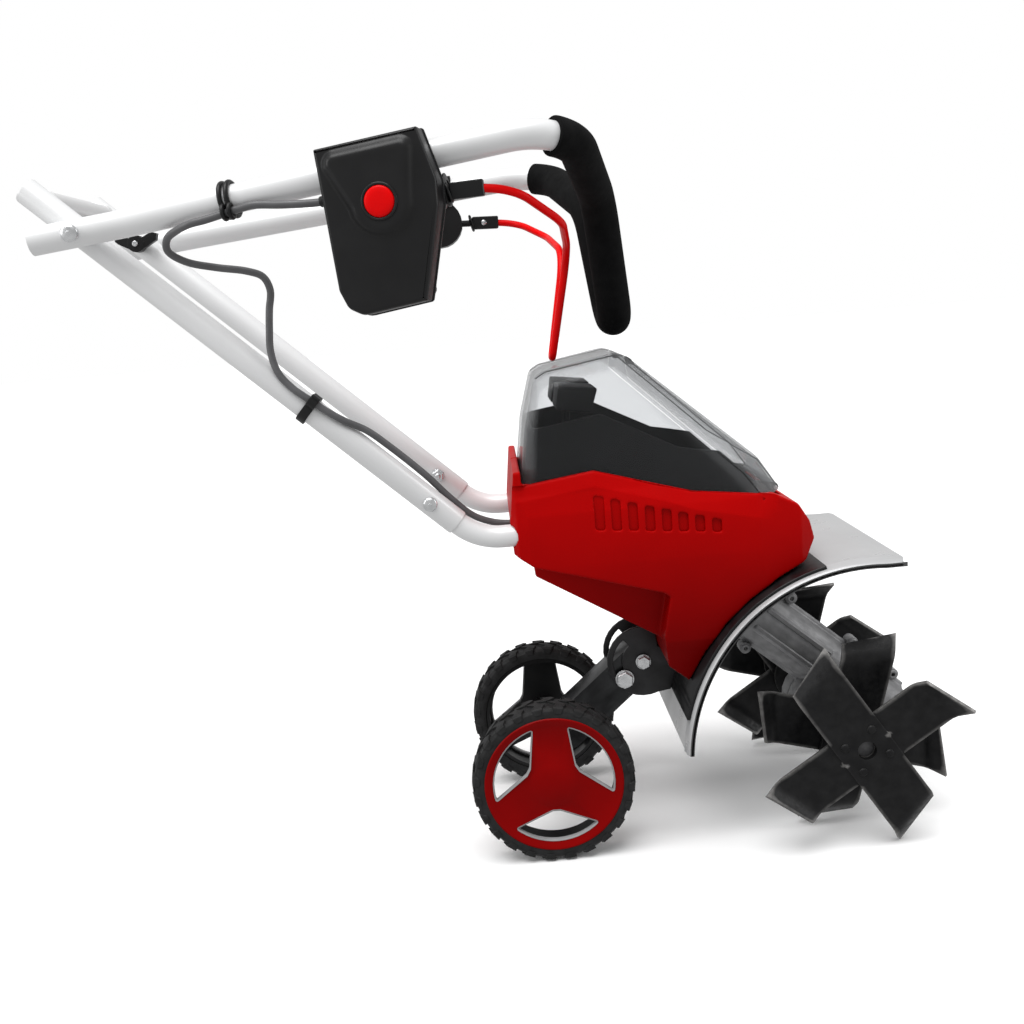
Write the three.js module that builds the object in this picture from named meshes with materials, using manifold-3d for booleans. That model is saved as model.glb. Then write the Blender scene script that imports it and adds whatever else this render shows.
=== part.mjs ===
// A battery-powered garden tiller, stored with its handle folded over the body.
// Millimetres. +X points to the tines, +Y to the machine's left, +Z up; the floor is z = 0.
// "right" is the side of -Y, where the switch box is.
import * as THREE from "three";
import { ConvexGeometry } from "three/addons/geometries/ConvexGeometry.js";
import { mergeVertices } from "three/addons/utils/BufferGeometryUtils.js";
import Module from "manifold-3d";

const wasm = await Module();
wasm.setup();

// ---------------------------------------------------------------- driving dimensions
const GAP = 0.3; // left between pieces that touch

// wheels and their arm
const WHEEL_RADIUS = 82;
const WHEEL_WIDTH = 35;
const WHEEL_Y = 98;
const RIM_RADIUS = 67;
const AXLE_RADIUS = 6;
const ARM_PIVOT = [124.5, 171];
const ARM_LENGTH = 139;
const ARM_HALF_WIDTH = 18;
const ARM_HEIGHT = 41;
const BRACKET_DISC = 38;
const LOCK_RADIUS = 27; // from the arm pivot to the lock bolt

// tines
const TINE_AXLE = [321, 102];
const TINE_AXLE_RADIUS = 9;
const BLADE_REACH = 98.6;
const BLADE_FOLD = 79;
const BLADE_WIDTH = 52;
const BLADE_THICKNESS = 3.5;
const OUTER_STAR_Y = 142;
const INNER_STAR_Y = 90;

// gear case: the worm shaft runs down and forward over the tine axle
const WORM_START = [215, 237];
const WORM_SLOPE = THREE.MathUtils.degToRad(40.9);
const WORM_CASE_RADIUS = 29;
const WORM_CASE_LENGTH = 228;

// fender: a sheet bent round the tines
const FENDER_CENTRE = [350, 90];
const FENDER_RADIUS = 200; // its upper face
const FENDER_HALF_WIDTH = 126;
const FENDER_FRONT = 376;
const FENDER_SHEET = 2;
const FENDER_LIP = 6;
const CARRIER_THICKNESS = 3;

// housing
const HOUSING_HALF_WIDTH = 108;
const WALL = 3;
const HOUSING_ARC = FENDER_RADIUS + CARRIER_THICKNESS + 2;
const BELLY_HALF_WIDTH = 80;
const LOUVRE_COUNT = 8;
const LOUVRE_START = 78;
const LOUVRE_PITCH = 16;
const LOUVRE_WIDTH = 9;
const LOUVRE_DEPTH = 7;

// handles
const TUBE_RADIUS = 12.5;
const TUBE_BORE = 11.2;
const LOWER_TUBE_RADIUS = 10.9;
const LEG_Y = 92;
const LEG_END = [-54, 350];
const FOLD_PIVOT = [-371, 648.5];
const LEG_TIP_X = -418;
const CROSS_TUBE_X = -406;
const TUBE_BOLT_X = -78;
const BOLT_BORE = 3.4;
const SPLAY_START = [-330, 117.5, 653]; // where the upper handle's straight, spreading run begins
const SPLAY_RUN = [402, 75.5, 44]; // along that run: forward, outward and up
const FOAM_RADIUS = 17;
const BAIL_RADIUS = 3.7;
const BAIL_PIVOT = [-53, 648];
const LINK_HALF_WIDTH = 3.6;
const LINK_HALF_HEIGHT = 6.5;

// cable
const CABLE_RADIUS = 3.4;

// middle of the overall length and width, which is the origin
const CENTRE_X = -1.8;
const CENTRE_Y = -7.69;

const COLOURS = {
  red: 0x9c0a10,
  brightRed: 0xe01010,
  black: 0x161718,
  tube: 0xd9dbdc,
  steel: 0xb4b6b8,
  cast: 0x83868a,
  fender: 0xb9bcbd,
  blade: 0x1c1f20,
  rubber: 0x1d1e1f,
  clear: 0xc9d2d6,
  copper: 0xa86a3c,
  board: 0x1e5a34,
};
const rad = THREE.MathUtils.degToRad;

// ---------------------------------------------------------------- solids and booleans
// A closed geometry as a solid that can be joined and cut.
function solid(geometry) {
  const bare = new THREE.BufferGeometry();
  bare.setAttribute("position", geometry.getAttribute("position"));
  if (geometry.index) bare.setIndex(geometry.index);
  const merged = mergeVertices(bare, 1e-4);
  const kept = [];
  const index = merged.index.array;
  for (let i = 0; i < index.length; i += 3) {
    const [a, b, c] = [index[i], index[i + 1], index[i + 2]];
    if (a !== b && b !== c && c !== a) kept.push(a, b, c);
  }
  const vertProperties = new Float32Array(merged.attributes.position.array);
  return new wasm.Manifold(
    new wasm.Mesh({ numProp: 3, vertProperties, triVerts: new Uint32Array(kept) }),
  );
}

// The radius of a hole with flat sides that clears a round piece.
const clearOf = (radius, sides) => (radius + GAP) / Math.cos(Math.PI / sides);

const cut = (body, ...tools) => tools.reduce((rest, tool) => rest.subtract(tool), body);
const join = (...bodies) => bodies.reduce((sum, body) => sum.add(body));

function geometryOf(body) {
  const mesh = body.getMesh();
  const geometry = new THREE.BufferGeometry();
  geometry.setAttribute("position", new THREE.BufferAttribute(mesh.vertProperties, 3));
  geometry.setIndex(new THREE.BufferAttribute(mesh.triVerts, 1));
  geometry.computeVertexNormals();
  return geometry;
}

// ---------------------------------------------------------------- outlines and simple shapes
function shapeOf(points, holes = []) {
  const shape = new THREE.Shape(points.map(([a, b]) => new THREE.Vector2(a, b)));
  shape.holes = holes.map((hole) => new THREE.Path(hole.map(([a, b]) => new THREE.Vector2(a, b))));
  return shape;
}

// Points on an arc, from one angle to another in degrees.
function arc([cx, cy], radius, from, to, steps) {
  const points = [];
  for (let i = 0; i <= steps; i++) {
    const angle = rad(from + ((to - from) * i) / steps);
    points.push([cx + radius * Math.cos(angle), cy + radius * Math.sin(angle)]);
  }
  return points;
}
const circle = (centre, radius, sides) => arc(centre, radius, 0, 360, sides).slice(0, sides);

// An x-z outline, from y0 to y1.
function sidePlate(points, y0, y1, holes) {
  const settings = { depth: y1 - y0, bevelEnabled: false };
  const geometry = new THREE.ExtrudeGeometry(shapeOf(points, holes), settings);
  geometry.rotateX(Math.PI / 2).translate(0, y1, 0);
  return solid(geometry);
}

// An x-y outline, from z0 to z1.
function planPlate(points, z0, z1) {
  const settings = { depth: z1 - z0, bevelEnabled: false };
  return solid(new THREE.ExtrudeGeometry(shapeOf(points), settings).translate(0, 0, z0));
}

// A y-z outline, from x0 to x1.
function frontPlate(points, x0, x1) {
  const settings = { depth: x1 - x0, bevelEnabled: false };
  const geometry = new THREE.ExtrudeGeometry(shapeOf(points), settings);
  const turn = new THREE.Matrix4().set(0, 0, 1, x0, 1, 0, 0, 0, 0, 1, 0, 0, 0, 0, 0, 1);
  return solid(geometry.applyMatrix4(turn));
}

function block([x0, y0, z0], [x1, y1, z1]) {
  const geometry = new THREE.BoxGeometry(x1 - x0, y1 - y0, z1 - z0);
  return solid(geometry.translate((x0 + x1) / 2, (y0 + y1) / 2, (z0 + z1) / 2));
}

// A turned profile of [radius, height] points about an axis from a base point.
function turned(profile, base, axis, sides = 20) {
  const points = profile.map(([r, h]) => new THREE.Vector2(r, h));
  const geometry = new THREE.LatheGeometry(points, sides);
  const up = new THREE.Vector3(0, 1, 0);
  const turn = new THREE.Quaternion().setFromUnitVectors(up, new THREE.Vector3(...axis).normalize());
  geometry.applyQuaternion(turn).translate(...base);
  return solid(geometry);
}

function rod(from, to, radius, sides = 16) {
  const along = new THREE.Vector3(...to).sub(new THREE.Vector3(...from));
  const profile = [[0, 0], [radius, 0], [radius, along.length()], [0, along.length()]];
  return turned(profile, from, along.toArray(), sides);
}

function hull(points) {
  return solid(new ConvexGeometry(points.map((p) => new THREE.Vector3(...p))));
}

// Both signs of y for every point.
const mirrored = (points) => points.flatMap(([x, y, z]) => [[x, y, z], [x, -y, z]]);

// ---------------------------------------------------------------- bent tubes
// Straight runs joined by arcs. A corner is [x, y, z, bend radius]; one with no radius is passed
// straight through, and gives the tube a ring of vertices there.
class BentPath extends THREE.Curve {
  constructor(corners, degreesPerStep = 15) {
    super();
    this.stations = [];
    this.tangents = [];
    if (!corners) return;
    const points = corners.map(([x, y, z]) => new THREE.Vector3(x, y, z));
    const heading = (i) => points[i + 1].clone().sub(points[i]).normalize();
    this.addStation(points[0], heading(0));
    for (let i = 1; i < points.length - 1; i++) {
      const radius = corners[i][3];
      if (radius) this.addBend(points[i], heading(i - 1), heading(i), radius, degreesPerStep);
      else this.addStation(points[i], heading(i));
    }
    this.addStation(points[points.length - 1], heading(points.length - 2));
  }

  addStation(point, tangent) {
    this.stations.push(point.clone());
    this.tangents.push(tangent.clone());
  }

  addBend(corner, arriving, leaving, radius, degreesPerStep) {
    const turn = arriving.angleTo(leaving);
    const reach = radius * Math.tan(turn / 2);
    const start = corner.clone().addScaledVector(arriving, -reach);
    const axis = arriving.clone().cross(leaving).normalize();
    const centre = start.clone().addScaledVector(axis.clone().cross(arriving), radius);
    const steps = Math.max(2, Math.ceil(turn / rad(degreesPerStep)));
    for (let k = 0; k <= steps; k++) {
      const angle = (turn * k) / steps;
      const point = start.clone().sub(centre).applyAxisAngle(axis, angle).add(centre);
      this.addStation(point, arriving.clone().applyAxisAngle(axis, angle));
    }
  }

  // The path between two of its stations.
  between(first, last) {
    const part = new BentPath();
    part.stations = this.stations.slice(first, last + 1);
    part.tangents = this.tangents.slice(first, last + 1);
    return part;
  }

  get steps() {
    return this.stations.length - 1;
  }

  getPoint(t, target = new THREE.Vector3()) {
    return target.copy(this.stations[Math.round(t * this.steps)]);
  }

  getPointAt(u, target) {
    return this.getPoint(u, target);
  }

  getTangentAt(u, target = new THREE.Vector3()) {
    return target.copy(this.tangents[Math.round(u * this.steps)]);
  }
}

// A round tube or rod along a path; a bore of 0 makes it solid.
function tubeAlong(path, radius, bore = 0, sides = 12, steps = path.steps) {
  const holes = bore > 0 ? [circle([0, 0], bore, sides)] : [];
  const shape = shapeOf(circle([0, 0], radius, sides), holes);
  return solid(new THREE.ExtrudeGeometry(shape, { steps, extrudePath: path }));
}

// ---------------------------------------------------------------- the assembly
const tiller = new THREE.Group();
tiller.name = "tiller";
tiller.position.set(-CENTRE_X, -CENTRE_Y, 0);

function add(name, body, colour, roughness = 0.6, metalness = 0, parent = tiller) {
  const finish = { color: COLOURS[colour], roughness, metalness };
  if (colour === "clear") Object.assign(finish, { transparent: true, opacity: 0.35 });
  const mesh = new THREE.Mesh(geometryOf(body), new THREE.MeshStandardMaterial(finish));
  mesh.name = name;
  parent.add(mesh);
}
const SIDES = [["right", -1], ["left", 1]];

// ---------------------------------------------------------------- worm frame helpers
const wormAxis = new THREE.Vector3(Math.cos(WORM_SLOPE), 0, -Math.sin(WORM_SLOPE));
const wormUp = new THREE.Vector3(Math.sin(WORM_SLOPE), 0, Math.cos(WORM_SLOPE));

// Stations round the fender, from its rear edge (0) to where its flat front starts.
const FENDER_STATIONS = 9;
const FENDER_REAR_ANGLE = 176;
const fenderAngle = (station) =>
  FENDER_REAR_ANGLE - ((FENDER_REAR_ANGLE - 90) * station) / FENDER_STATIONS;
const fenderArc = (radius, first, last) =>
  arc(FENDER_CENTRE, radius, fenderAngle(first), fenderAngle(last), Math.abs(last - first));

// A point so far along the worm axis, and above it.
function wormPoint(along, above = 0, y = 0) {
  return [
    WORM_START[0] + along * wormAxis.x + above * wormUp.x,
    y,
    WORM_START[1] + along * wormAxis.z + above * wormUp.z,
  ];
}
const wormRod = (from, to, radius, sides) => rod(wormPoint(from), wormPoint(to), radius, sides);

// ---------------------------------------------------------------- canopy form
// The canopy's outer form, or the same form moved in by a wall and carried on down. The housing's
// opening and the tray's edge follow it too.
const CANOPY_MIDDLE = [140, 0, 335];
const CANOPY_REACH = [130, 101, 160];
function canopyForm(wall) {
  const crown = [
    [31.4, 481.6], [42, 487.5], [112, 499], [123, 494.5], [222, 401], [246, 385], [266, 353],
  ];
  const brow = [[34, 470], [48, 474], [108, 486], [119, 480.5], [214, 390], [237, 374], [256, 350]];
  const rear = [[7.5, 352], [10.5, 382], [18, 433]];
  const points = [
    ...crown.map(([x, z]) => [x, 66, z]),
    ...brow.map(([x, z]) => [x, 88, z]),
    ...rear.map(([x, z]) => [x, 84 - (z - 352) * 0.06, z]),
    [19, 101, 352], [232, 101, 352], [29, 93, 450],
  ];
  if (!wall) return hull(mirrored(points));
  const moved = (value, i) =>
    CANOPY_MIDDLE[i] + (value - CANOPY_MIDDLE[i]) * (1 - wall / CANOPY_REACH[i]);
  const inner = points.map((point) => point.map(moved));
  const below = inner.filter(([, , z]) => z < 356).map(([x, y]) => [x, y, 310]);
  return hull(mirrored([...inner, ...below]));
}

// ---------------------------------------------------------------- housing
// Side outline of the main body, clockwise from the rear lip; the front edge follows the fender.
function housingOutline() {
  return [
    [3, 396], [10, 396], [10, 382], [79.7, 391], [173, 363.5], [253, 353.5], [276, 341],
    [289, 321.5], [294, 303],
    ...fenderArc(HOUSING_ARC, 7, 2),
    [141.5, 188], [138, 221], [146, 261], [139, 266], [16.5, 302], [-2, 315], [-3.5, 345],
  ];
}

// The same outline moved inwards, for the hollow.
function hollowOutline() {
  return [
    [3, 378], [80, 387.8], [172.5, 360.4], [252, 350.4], [274, 338.6], [285.5, 320], [289.5, 305],
    ...fenderArc(HOUSING_ARC + WALL, 7, 2),
    [146, 190], [142, 221], [150, 263], [140, 270], [18, 306], [3, 317], [0.5, 345],
  ];
}

const bellyOutline = [[17, 312], [17, 287], [141, 211], [146, 211], [146, 275]];
const bellyHollow = [[21, 312], [21, 290], [141, 216.5], [153, 217], [153, 275]];

function halfSection(halfWidth, foot) {
  const lower = halfWidth - 10;
  const right = [[-foot, 150], [-lower - 6, 215], [-halfWidth, 300], [-halfWidth, 352]];
  const shoulder = [[-halfWidth + 3, 372], [-halfWidth + 3, 430]];
  const side = [...right, ...shoulder];
  return [...side, ...side.map(([y, z]) => [-y, z]).reverse()];
}

function planOutline(halfWidth, front) {
  const side = [[-5, -halfWidth + 14], [3, -halfWidth + 3], [14, -halfWidth]];
  const nose = [[235, -halfWidth], [278, -halfWidth + 10], [front, -halfWidth + 26]];
  const half = [...side, ...nose];
  return [...half, ...half.map(([x, y]) => [x, -y]).reverse()];
}

function housingShell() {
  const wide = HOUSING_HALF_WIDTH + 5;
  const outer = sidePlate(housingOutline(), -wide, wide)
    .intersect(frontPlate(halfSection(HOUSING_HALF_WIDTH, 90), -20, 320))
    .intersect(planPlate(planOutline(HOUSING_HALF_WIDTH, 298), 140, 400))
    .add(sidePlate(bellyOutline, -BELLY_HALF_WIDTH, BELLY_HALF_WIDTH));
  const inner = sidePlate(hollowOutline(), -wide, wide)
    .intersect(frontPlate(halfSection(HOUSING_HALF_WIDTH - WALL, 90 - WALL), -20, 320))
    .intersect(planPlate(planOutline(HOUSING_HALF_WIDTH - WALL, 298 - WALL), 140, 440))
    .add(sidePlate(bellyHollow, -BELLY_HALF_WIDTH + WALL, BELLY_HALF_WIDTH - WALL));
  const motorHole = wormRod(-14, 20, WORM_CASE_RADIUS + 2, 20);
  const tubeHoles = SIDES.map(([, side]) =>
    rod([-20, side * LEG_Y, 333], [12, side * LEG_Y, 333], clearOf(LOWER_TUBE_RADIUS, 12), 12),
  );
  const cableY = -LEG_Y + 22;
  const cableHole = rod([-20, cableY, 341], [12, cableY, 341], clearOf(CABLE_RADIUS, 8), 8);
  return cut(outer, inner, canopyForm(-1.2), motorHole, ...tubeHoles, cableHole);
}

// Slots through each side, shorter towards the front.
function louvres(side) {
  const slots = [];
  for (let i = 0; i < LOUVRE_COUNT; i++) {
    const x = LOUVRE_START + i * LOUVRE_PITCH;
    const foot = 334 - i * 1.6;
    const height = 33 - i * 2.8;
    const end = x + LOUVRE_WIDTH;
    const outline = [[x, foot], [end, foot - 1], [end, foot + height - 2], [x, foot + height]];
    const y = side * HOUSING_HALF_WIDTH;
    slots.push(sidePlate(outline, y - LOUVRE_DEPTH, y + LOUVRE_DEPTH));
  }
  return slots;
}

const shell = housingShell();
for (const [name, side] of SIDES) {
  const half = block([-20, GAP / 2, 100], [320, 200, 440]);
  const keep = side > 0 ? half : half.mirror([0, 1, 0]);
  add("housing_" + name, cut(shell.intersect(keep), ...louvres(side)), "red", 0.42);
}

// ---------------------------------------------------------------- battery tray and docks
// The black tray closes the top of the housing; its rim follows the roof of the batteries.
const TRAY_UNDERSIDE = 346;
const TRAY_FLOOR = 350;
const [pinX, pinZ] = [261, 354];
const EAR_Y = 64;
const pinBore = rod([pinX, -90, pinZ], [pinX, 90, pinZ], 2.5, 10);

function batteryTray() {
  const rim = [
    [8, TRAY_UNDERSIDE], [8, 431], [91.6, 443], [163, 405.5], [205, 397], [237, 366],
    [238, TRAY_UNDERSIDE],
  ];
  const basin = [[22, TRAY_FLOOR], [24, 470], [260, 470], [234, TRAY_FLOOR]];
  const outer = sidePlate(rim, -102, 102).intersect(canopyForm(3.6));
  const inner = sidePlate(basin, -100, 100).intersect(canopyForm(7));
  const nose = arc([pinX, pinZ], 4, -45, 90, 3);
  const ear = [[232, 347], [pinX, pinZ - 4], ...nose, [240, 362], [232, 362]];
  const ears = SIDES.map(([, side]) => sidePlate(ear, side * EAR_Y - 3, side * EAR_Y + 3));
  return cut(join(outer, ...ears), inner, pinBore);
}
add("battery_tray", batteryTray(), "black", 0.55);

for (const [name, side] of SIDES) {
  const y = side * 45;
  const low = TRAY_FLOOR + GAP;
  const outline = [[42, low], [96, low], [110, 470], [94, 474], [80, 385], [42, 372]];
  const base = sidePlate(outline, y - 34, y + 34);
  const slotCuts = [-22, 0, 22].map((at) => block([70, y + at - 4, 396], [120, y + at + 4, 440]));
  add("battery_dock_" + name, cut(base, ...slotCuts), "black", 0.5);
}

const board = join(block([30, -55, 296], [104, 55, 299]), block([46, -30, 298.9], [84, 30, 312]));
add("control_board", board, "board", 0.5);

// ---------------------------------------------------------------- clear canopy and its window
const canopyShell = canopyForm(0).subtract(canopyForm(2.6));

// The window takes the sloping front of the canopy, down to a line just inside it.
function frontZone(seam) {
  const line = [[121, 560], [120.4, 476], [226, 374.6], [243, 350.5], [243, 310]];
  const shifted = line.map(([x, z]) => [x - seam, z - seam]);
  return sidePlate([...shifted, [300, 300], [300, 560]], -110, 110);
}
add("canopy", cut(canopyShell, frontZone(0.9)), "clear", 0.08);

function canopyWindow() {
  const barrelEnd = EAR_Y - 3.5;
  const barrel = rod([pinX, -barrelEnd, pinZ], [pinX, barrelEnd, pinZ], 4.2, 14);
  const notches = SIDES.map(([, side]) =>
    block([pinX - 40, side * EAR_Y - 3.5, 340], [pinX + 20, side * EAR_Y + 3.5, pinZ + 9]),
  );
  const below = block([200, -120, 250], [300, 120, 351]);
  const pane = cut(canopyShell.intersect(frontZone(0)), below, ...notches);
  return cut(join(pane, barrel), pinBore);
}
add("canopy_window", canopyWindow(), "clear", 0.08);
add("window_hinge_pin", rod([pinX, -72, pinZ], [pinX, 72, pinZ], 2, 10), "steel", 0.35, 0.9);

// ---------------------------------------------------------------- motor and gear case
const canInside = wormRod(-109, -10, 23.6, 20);
const motorCan = cut(wormRod(-112, -18, 26, 20), canInside, wormRod(-120, -100, 4.4, 12));
add("motor_can", motorCan, "steel", 0.4, 0.8);

function motorRotor() {
  const core = wormRod(-96, -34, 20.5, 16);
  const slots = [0, 1, 2, 3, 4, 5].map((i) => {
    const angle = (i * Math.PI) / 3;
    const [out, side] = [20.5 * Math.cos(angle), 20.5 * Math.sin(angle)];
    return rod(wormPoint(-97, out, side), wormPoint(-33, out, side), 2.4, 8);
  });
  return join(cut(core, ...slots), wormRod(-118, -16.5, 4, 12));
}
add("motor_rotor", motorRotor(), "copper", 0.45, 0.6);

add("worm_shaft", join(wormRod(-16, 218, 5, 12), wormRod(144, 194, 9, 16)), "steel", 0.3, 0.9);

function gearCase() {
  const barrel = wormRod(1, WORM_CASE_LENGTH, WORM_CASE_RADIUS, 24);
  const under = arc(FENDER_CENTRE, FENDER_RADIUS - FENDER_SHEET - 1.2, 0, 360, 72).slice(0, 72);
  const flange = wormRod(-20, 19, WORM_CASE_RADIUS + 11, 24).intersect(sidePlate(under, -50, 50));
  const [ax, az] = TINE_AXLE;
  const bulge = rod([ax, -24, az], [ax, 24, az], 41, 24);
  const bosses = rod([ax, -36, az], [ax, 36, az], 19, 20);
  const seamEdge = [[10, 33], [226, 33], [226, -32], [10, -32]].map((at) => wormPoint(...at));
  const seam = sidePlate(seamEdge.map(([x, , z]) => [x, z]), -4.5, 4.5);
  const wormBore = wormRod(-5, 220, 12.5, 16);
  const wheelHall = rod([ax, -11, az], [ax, 11, az], 26.5, 20);
  const axleBore = rod([ax, -40, az], [ax, 40, az], TINE_AXLE_RADIUS + 0.4, 16);
  return cut(join(barrel, flange, bulge, bosses, seam), wormBore, wheelHall, axleBore);
}
const wholeCase = gearCase();
for (const [name, side] of SIDES) {
  const half = block([100, GAP / 2, 0], [450, 80, 300]);
  const keep = side > 0 ? half : half.mirror([0, 1, 0]);
  add("gear_case_" + name, wholeCase.intersect(keep), "cast", 0.5, 0.7);
}

function wormWheel() {
  const [ax, az] = TINE_AXLE;
  const teeth = 18;
  const outline = [];
  for (let i = 0; i < teeth; i++) {
    const at = (360 / teeth) * i;
    outline.push(...arc(TINE_AXLE, 20.4, at, at + 7, 1));
    outline.push(...arc(TINE_AXLE, 23.2, at + 10, at + 15, 1));
  }
  const bore = rod([ax, -20, az], [ax, 20, az], TINE_AXLE_RADIUS + GAP, 16);
  return cut(sidePlate(outline, -7, 7), bore);
}
add("worm_wheel", wormWheel(), "copper", 0.4, 0.8);

// ---------------------------------------------------------------- tine shaft
const [tineX, tineZ] = TINE_AXLE;
for (const [name, side] of SIDES) {
  const at = (y) => [tineX, side * y, tineZ];
  const bore = rod(at(30), at(45), clearOf(TINE_AXLE_RADIUS, 16), 16);
  add("axle_seal_" + name, cut(rod(at(36.3), at(40), 16, 20), bore), "black", 0.8);
}
add("tine_axle", rod([tineX, -137, tineZ], [tineX, 137, tineZ], TINE_AXLE_RADIUS, 16), "steel", 0.35, 0.9);

for (const [name, side] of SIDES) {
  const at = (y) => [tineX, side * y, tineZ];
  const sleeve = rod(at(42), at(137.8), 14, 16);
  const outerFlange = rod(at(133.5), at(137.8), 33, 20);
  const innerFlange = rod(at(81), at(85.8), 33, 20);
  const bore = rod(at(30), at(150), TINE_AXLE_RADIUS + GAP, 16);
  add("tine_hub_" + name, cut(join(sleeve, outerFlange, innerFlange), bore), "blade", 0.5, 0.5);
}

// One crossed pair of blades. The tips of the first bend towards the machine, of the second away.
function star(middle, side, angle, hole) {
  const lean = (BLADE_REACH - BLADE_FOLD) * Math.tan(rad(40));
  const blade = (y, outward) => {
    const tip = y + outward * lean;
    const face = (offset) => [
      [-BLADE_REACH, tip + offset], [-BLADE_FOLD, y + offset],
      [BLADE_FOLD, y + offset], [BLADE_REACH, tip + offset],
    ];
    const half = BLADE_THICKNESS / 2;
    const outline = [...face(-half), ...face(half).reverse()];
    return planPlate(outline, -BLADE_WIDTH / 2, BLADE_WIDTH / 2);
  };
  const overlap = 0.2;
  const shift = BLADE_THICKNESS / 2 - overlap / 2;
  const inward = blade(shift * side, -side).rotate([0, angle, 0]);
  const outward = blade(-shift * side, side).rotate([0, angle + 90, 0]);
  const bore = rod([0, -10, 0], [0, 10, 0], hole, 20);
  return cut(join(inward, outward), bore).translate([tineX, side * middle, tineZ]);
}
const STARS = [
  ["tine_star_right_outer", OUTER_STAR_Y, -1, 57, TINE_AXLE_RADIUS + GAP],
  ["tine_star_right_inner", INNER_STAR_Y, -1, -75, 14.4],
  ["tine_star_left_inner", INNER_STAR_Y, 1, -33, 14.4],
  ["tine_star_left_outer", OUTER_STAR_Y, 1, -75, TINE_AXLE_RADIUS + GAP],
];
for (const [name, middle, side, angle, hole] of STARS) {
  add(name, star(middle, side, angle, hole), "blade", 0.5, 0.5);
}

// ---------------------------------------------------------------- fender and its carrier
// A sheet from one station to another, with its flat front when the reach is given.
function bentSheet(radius, thickness, first, last, halfWidth, front) {
  const upper = fenderArc(radius, first, last);
  const lower = fenderArc(radius - thickness, last, first);
  const level = FENDER_CENTRE[1] + radius;
  const flat = front ? [[front, level], [front, level - thickness]] : [];
  return sidePlate([...upper, ...flat, ...lower], -halfWidth, halfWidth);
}
const caseHole = wormRod(-40, 60, WORM_CASE_RADIUS + 2, 24);

function fender() {
  const whole = [0, FENDER_STATIONS, FENDER_HALF_WIDTH, FENDER_FRONT];
  const sheet = bentSheet(FENDER_RADIUS, FENDER_SHEET, ...whole);
  const lips = bentSheet(FENDER_RADIUS - 0.2, FENDER_LIP, ...whole);
  const inside = FENDER_HALF_WIDTH - 1.8;
  const between = block([100, -inside, 0], [400, inside, 400]);
  return cut(join(sheet, cut(lips, between)), caseHole);
}
add("fender", fender(), "fender", 0.4, 0.3);

const CARRIER_RADIUS = FENDER_RADIUS + CARRIER_THICKNESS + GAP;
const CARRIER_HALF_WIDTH = FENDER_HALF_WIDTH - 6;
const carrierSheet = bentSheet(CARRIER_RADIUS, CARRIER_THICKNESS, 1, 8, CARRIER_HALF_WIDTH);
add("fender_carrier", cut(carrierSheet, caseHole), "black", 0.5, 0.3);

// ---------------------------------------------------------------- wheel bracket and arm
const [pivotX, pivotZ] = ARM_PIVOT;
const ARM_ANGLE = (Math.asin((pivotZ - WHEEL_RADIUS) / ARM_LENGTH) * 180) / Math.PI;

function wheelBracket() {
  const slot = [
    ...arc(ARM_PIVOT, LOCK_RADIUS + 4.7, 128, 232, 10),
    ...arc(ARM_PIVOT, LOCK_RADIUS - 4.7, 232, 128, 10),
  ];
  const edge = fenderArc(CARRIER_RADIUS + GAP, 1, 2);
  const cheek = [...arc(ARM_PIVOT, BRACKET_DISC, 95, 292, 16), ...edge, [138, 209]];
  const inner = ARM_HALF_WIDTH + 0.6;
  const cheeks = SIDES.map(([, side]) => {
    const [a, b] = side > 0 ? [inner, inner + 4] : [-inner - 4, -inner];
    return sidePlate(cheek, a, b, [slot]);
  });
  const back = [...edge, ...fenderArc(CARRIER_RADIUS + GAP + 4, 2, 1)];
  const web = sidePlate(back, -inner - 2, inner + 2);
  const pivotBore = rod([pivotX, -40, pivotZ], [pivotX, 40, pivotZ], 5.4, 16);
  const bellyClear = sidePlate([[0, 320], [0, 296.5], [140, 210.6], [142, 300]], -60, 60);
  const shellEdge = fenderArc(HOUSING_ARC - 1.4, 2, 4);
  const shellCorners = [[137.4, 300], [137.4, 221], [140.6, 187], [161.2, 169.2], ...shellEdge];
  const shellClear = sidePlate(shellCorners, -60, 60);
  return cut(join(...cheeks, web), pivotBore, bellyClear, shellClear);
}
add("wheel_bracket", wheelBracket(), "black", 0.5, 0.4);

// A bolt along y: a head on the right side, a nut on the left.
function crossBolt([x, z], headY, nutY, radius, headRadius, headSides) {
  const shank = rod([x, headY + 1, z], [x, nutY - 1, z], radius, 12);
  const head = rod([x, headY - 5, z], [x, headY + 1.2, z], headRadius, headSides);
  const nut = rod([x, nutY - 1.2, z], [x, nutY + 5, z], headRadius, 6);
  return join(shank, head, nut);
}
const cheekFace = ARM_HALF_WIDTH + 5;
add("arm_pivot_bolt", crossBolt(ARM_PIVOT, -cheekFace - 1, cheekFace + 1, 5, 7, 12), "steel", 0.35, 0.9);

const alongArm = (distance) => [
  pivotX - distance * Math.cos(rad(ARM_ANGLE)),
  pivotZ - distance * Math.sin(rad(ARM_ANGLE)),
];
const lockSpot = alongArm(LOCK_RADIUS);
add("arm_lock_bolt", crossBolt(lockSpot, -cheekFace - 1, cheekFace + 1, 4, 9, 6), "steel", 0.35, 0.9);

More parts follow.
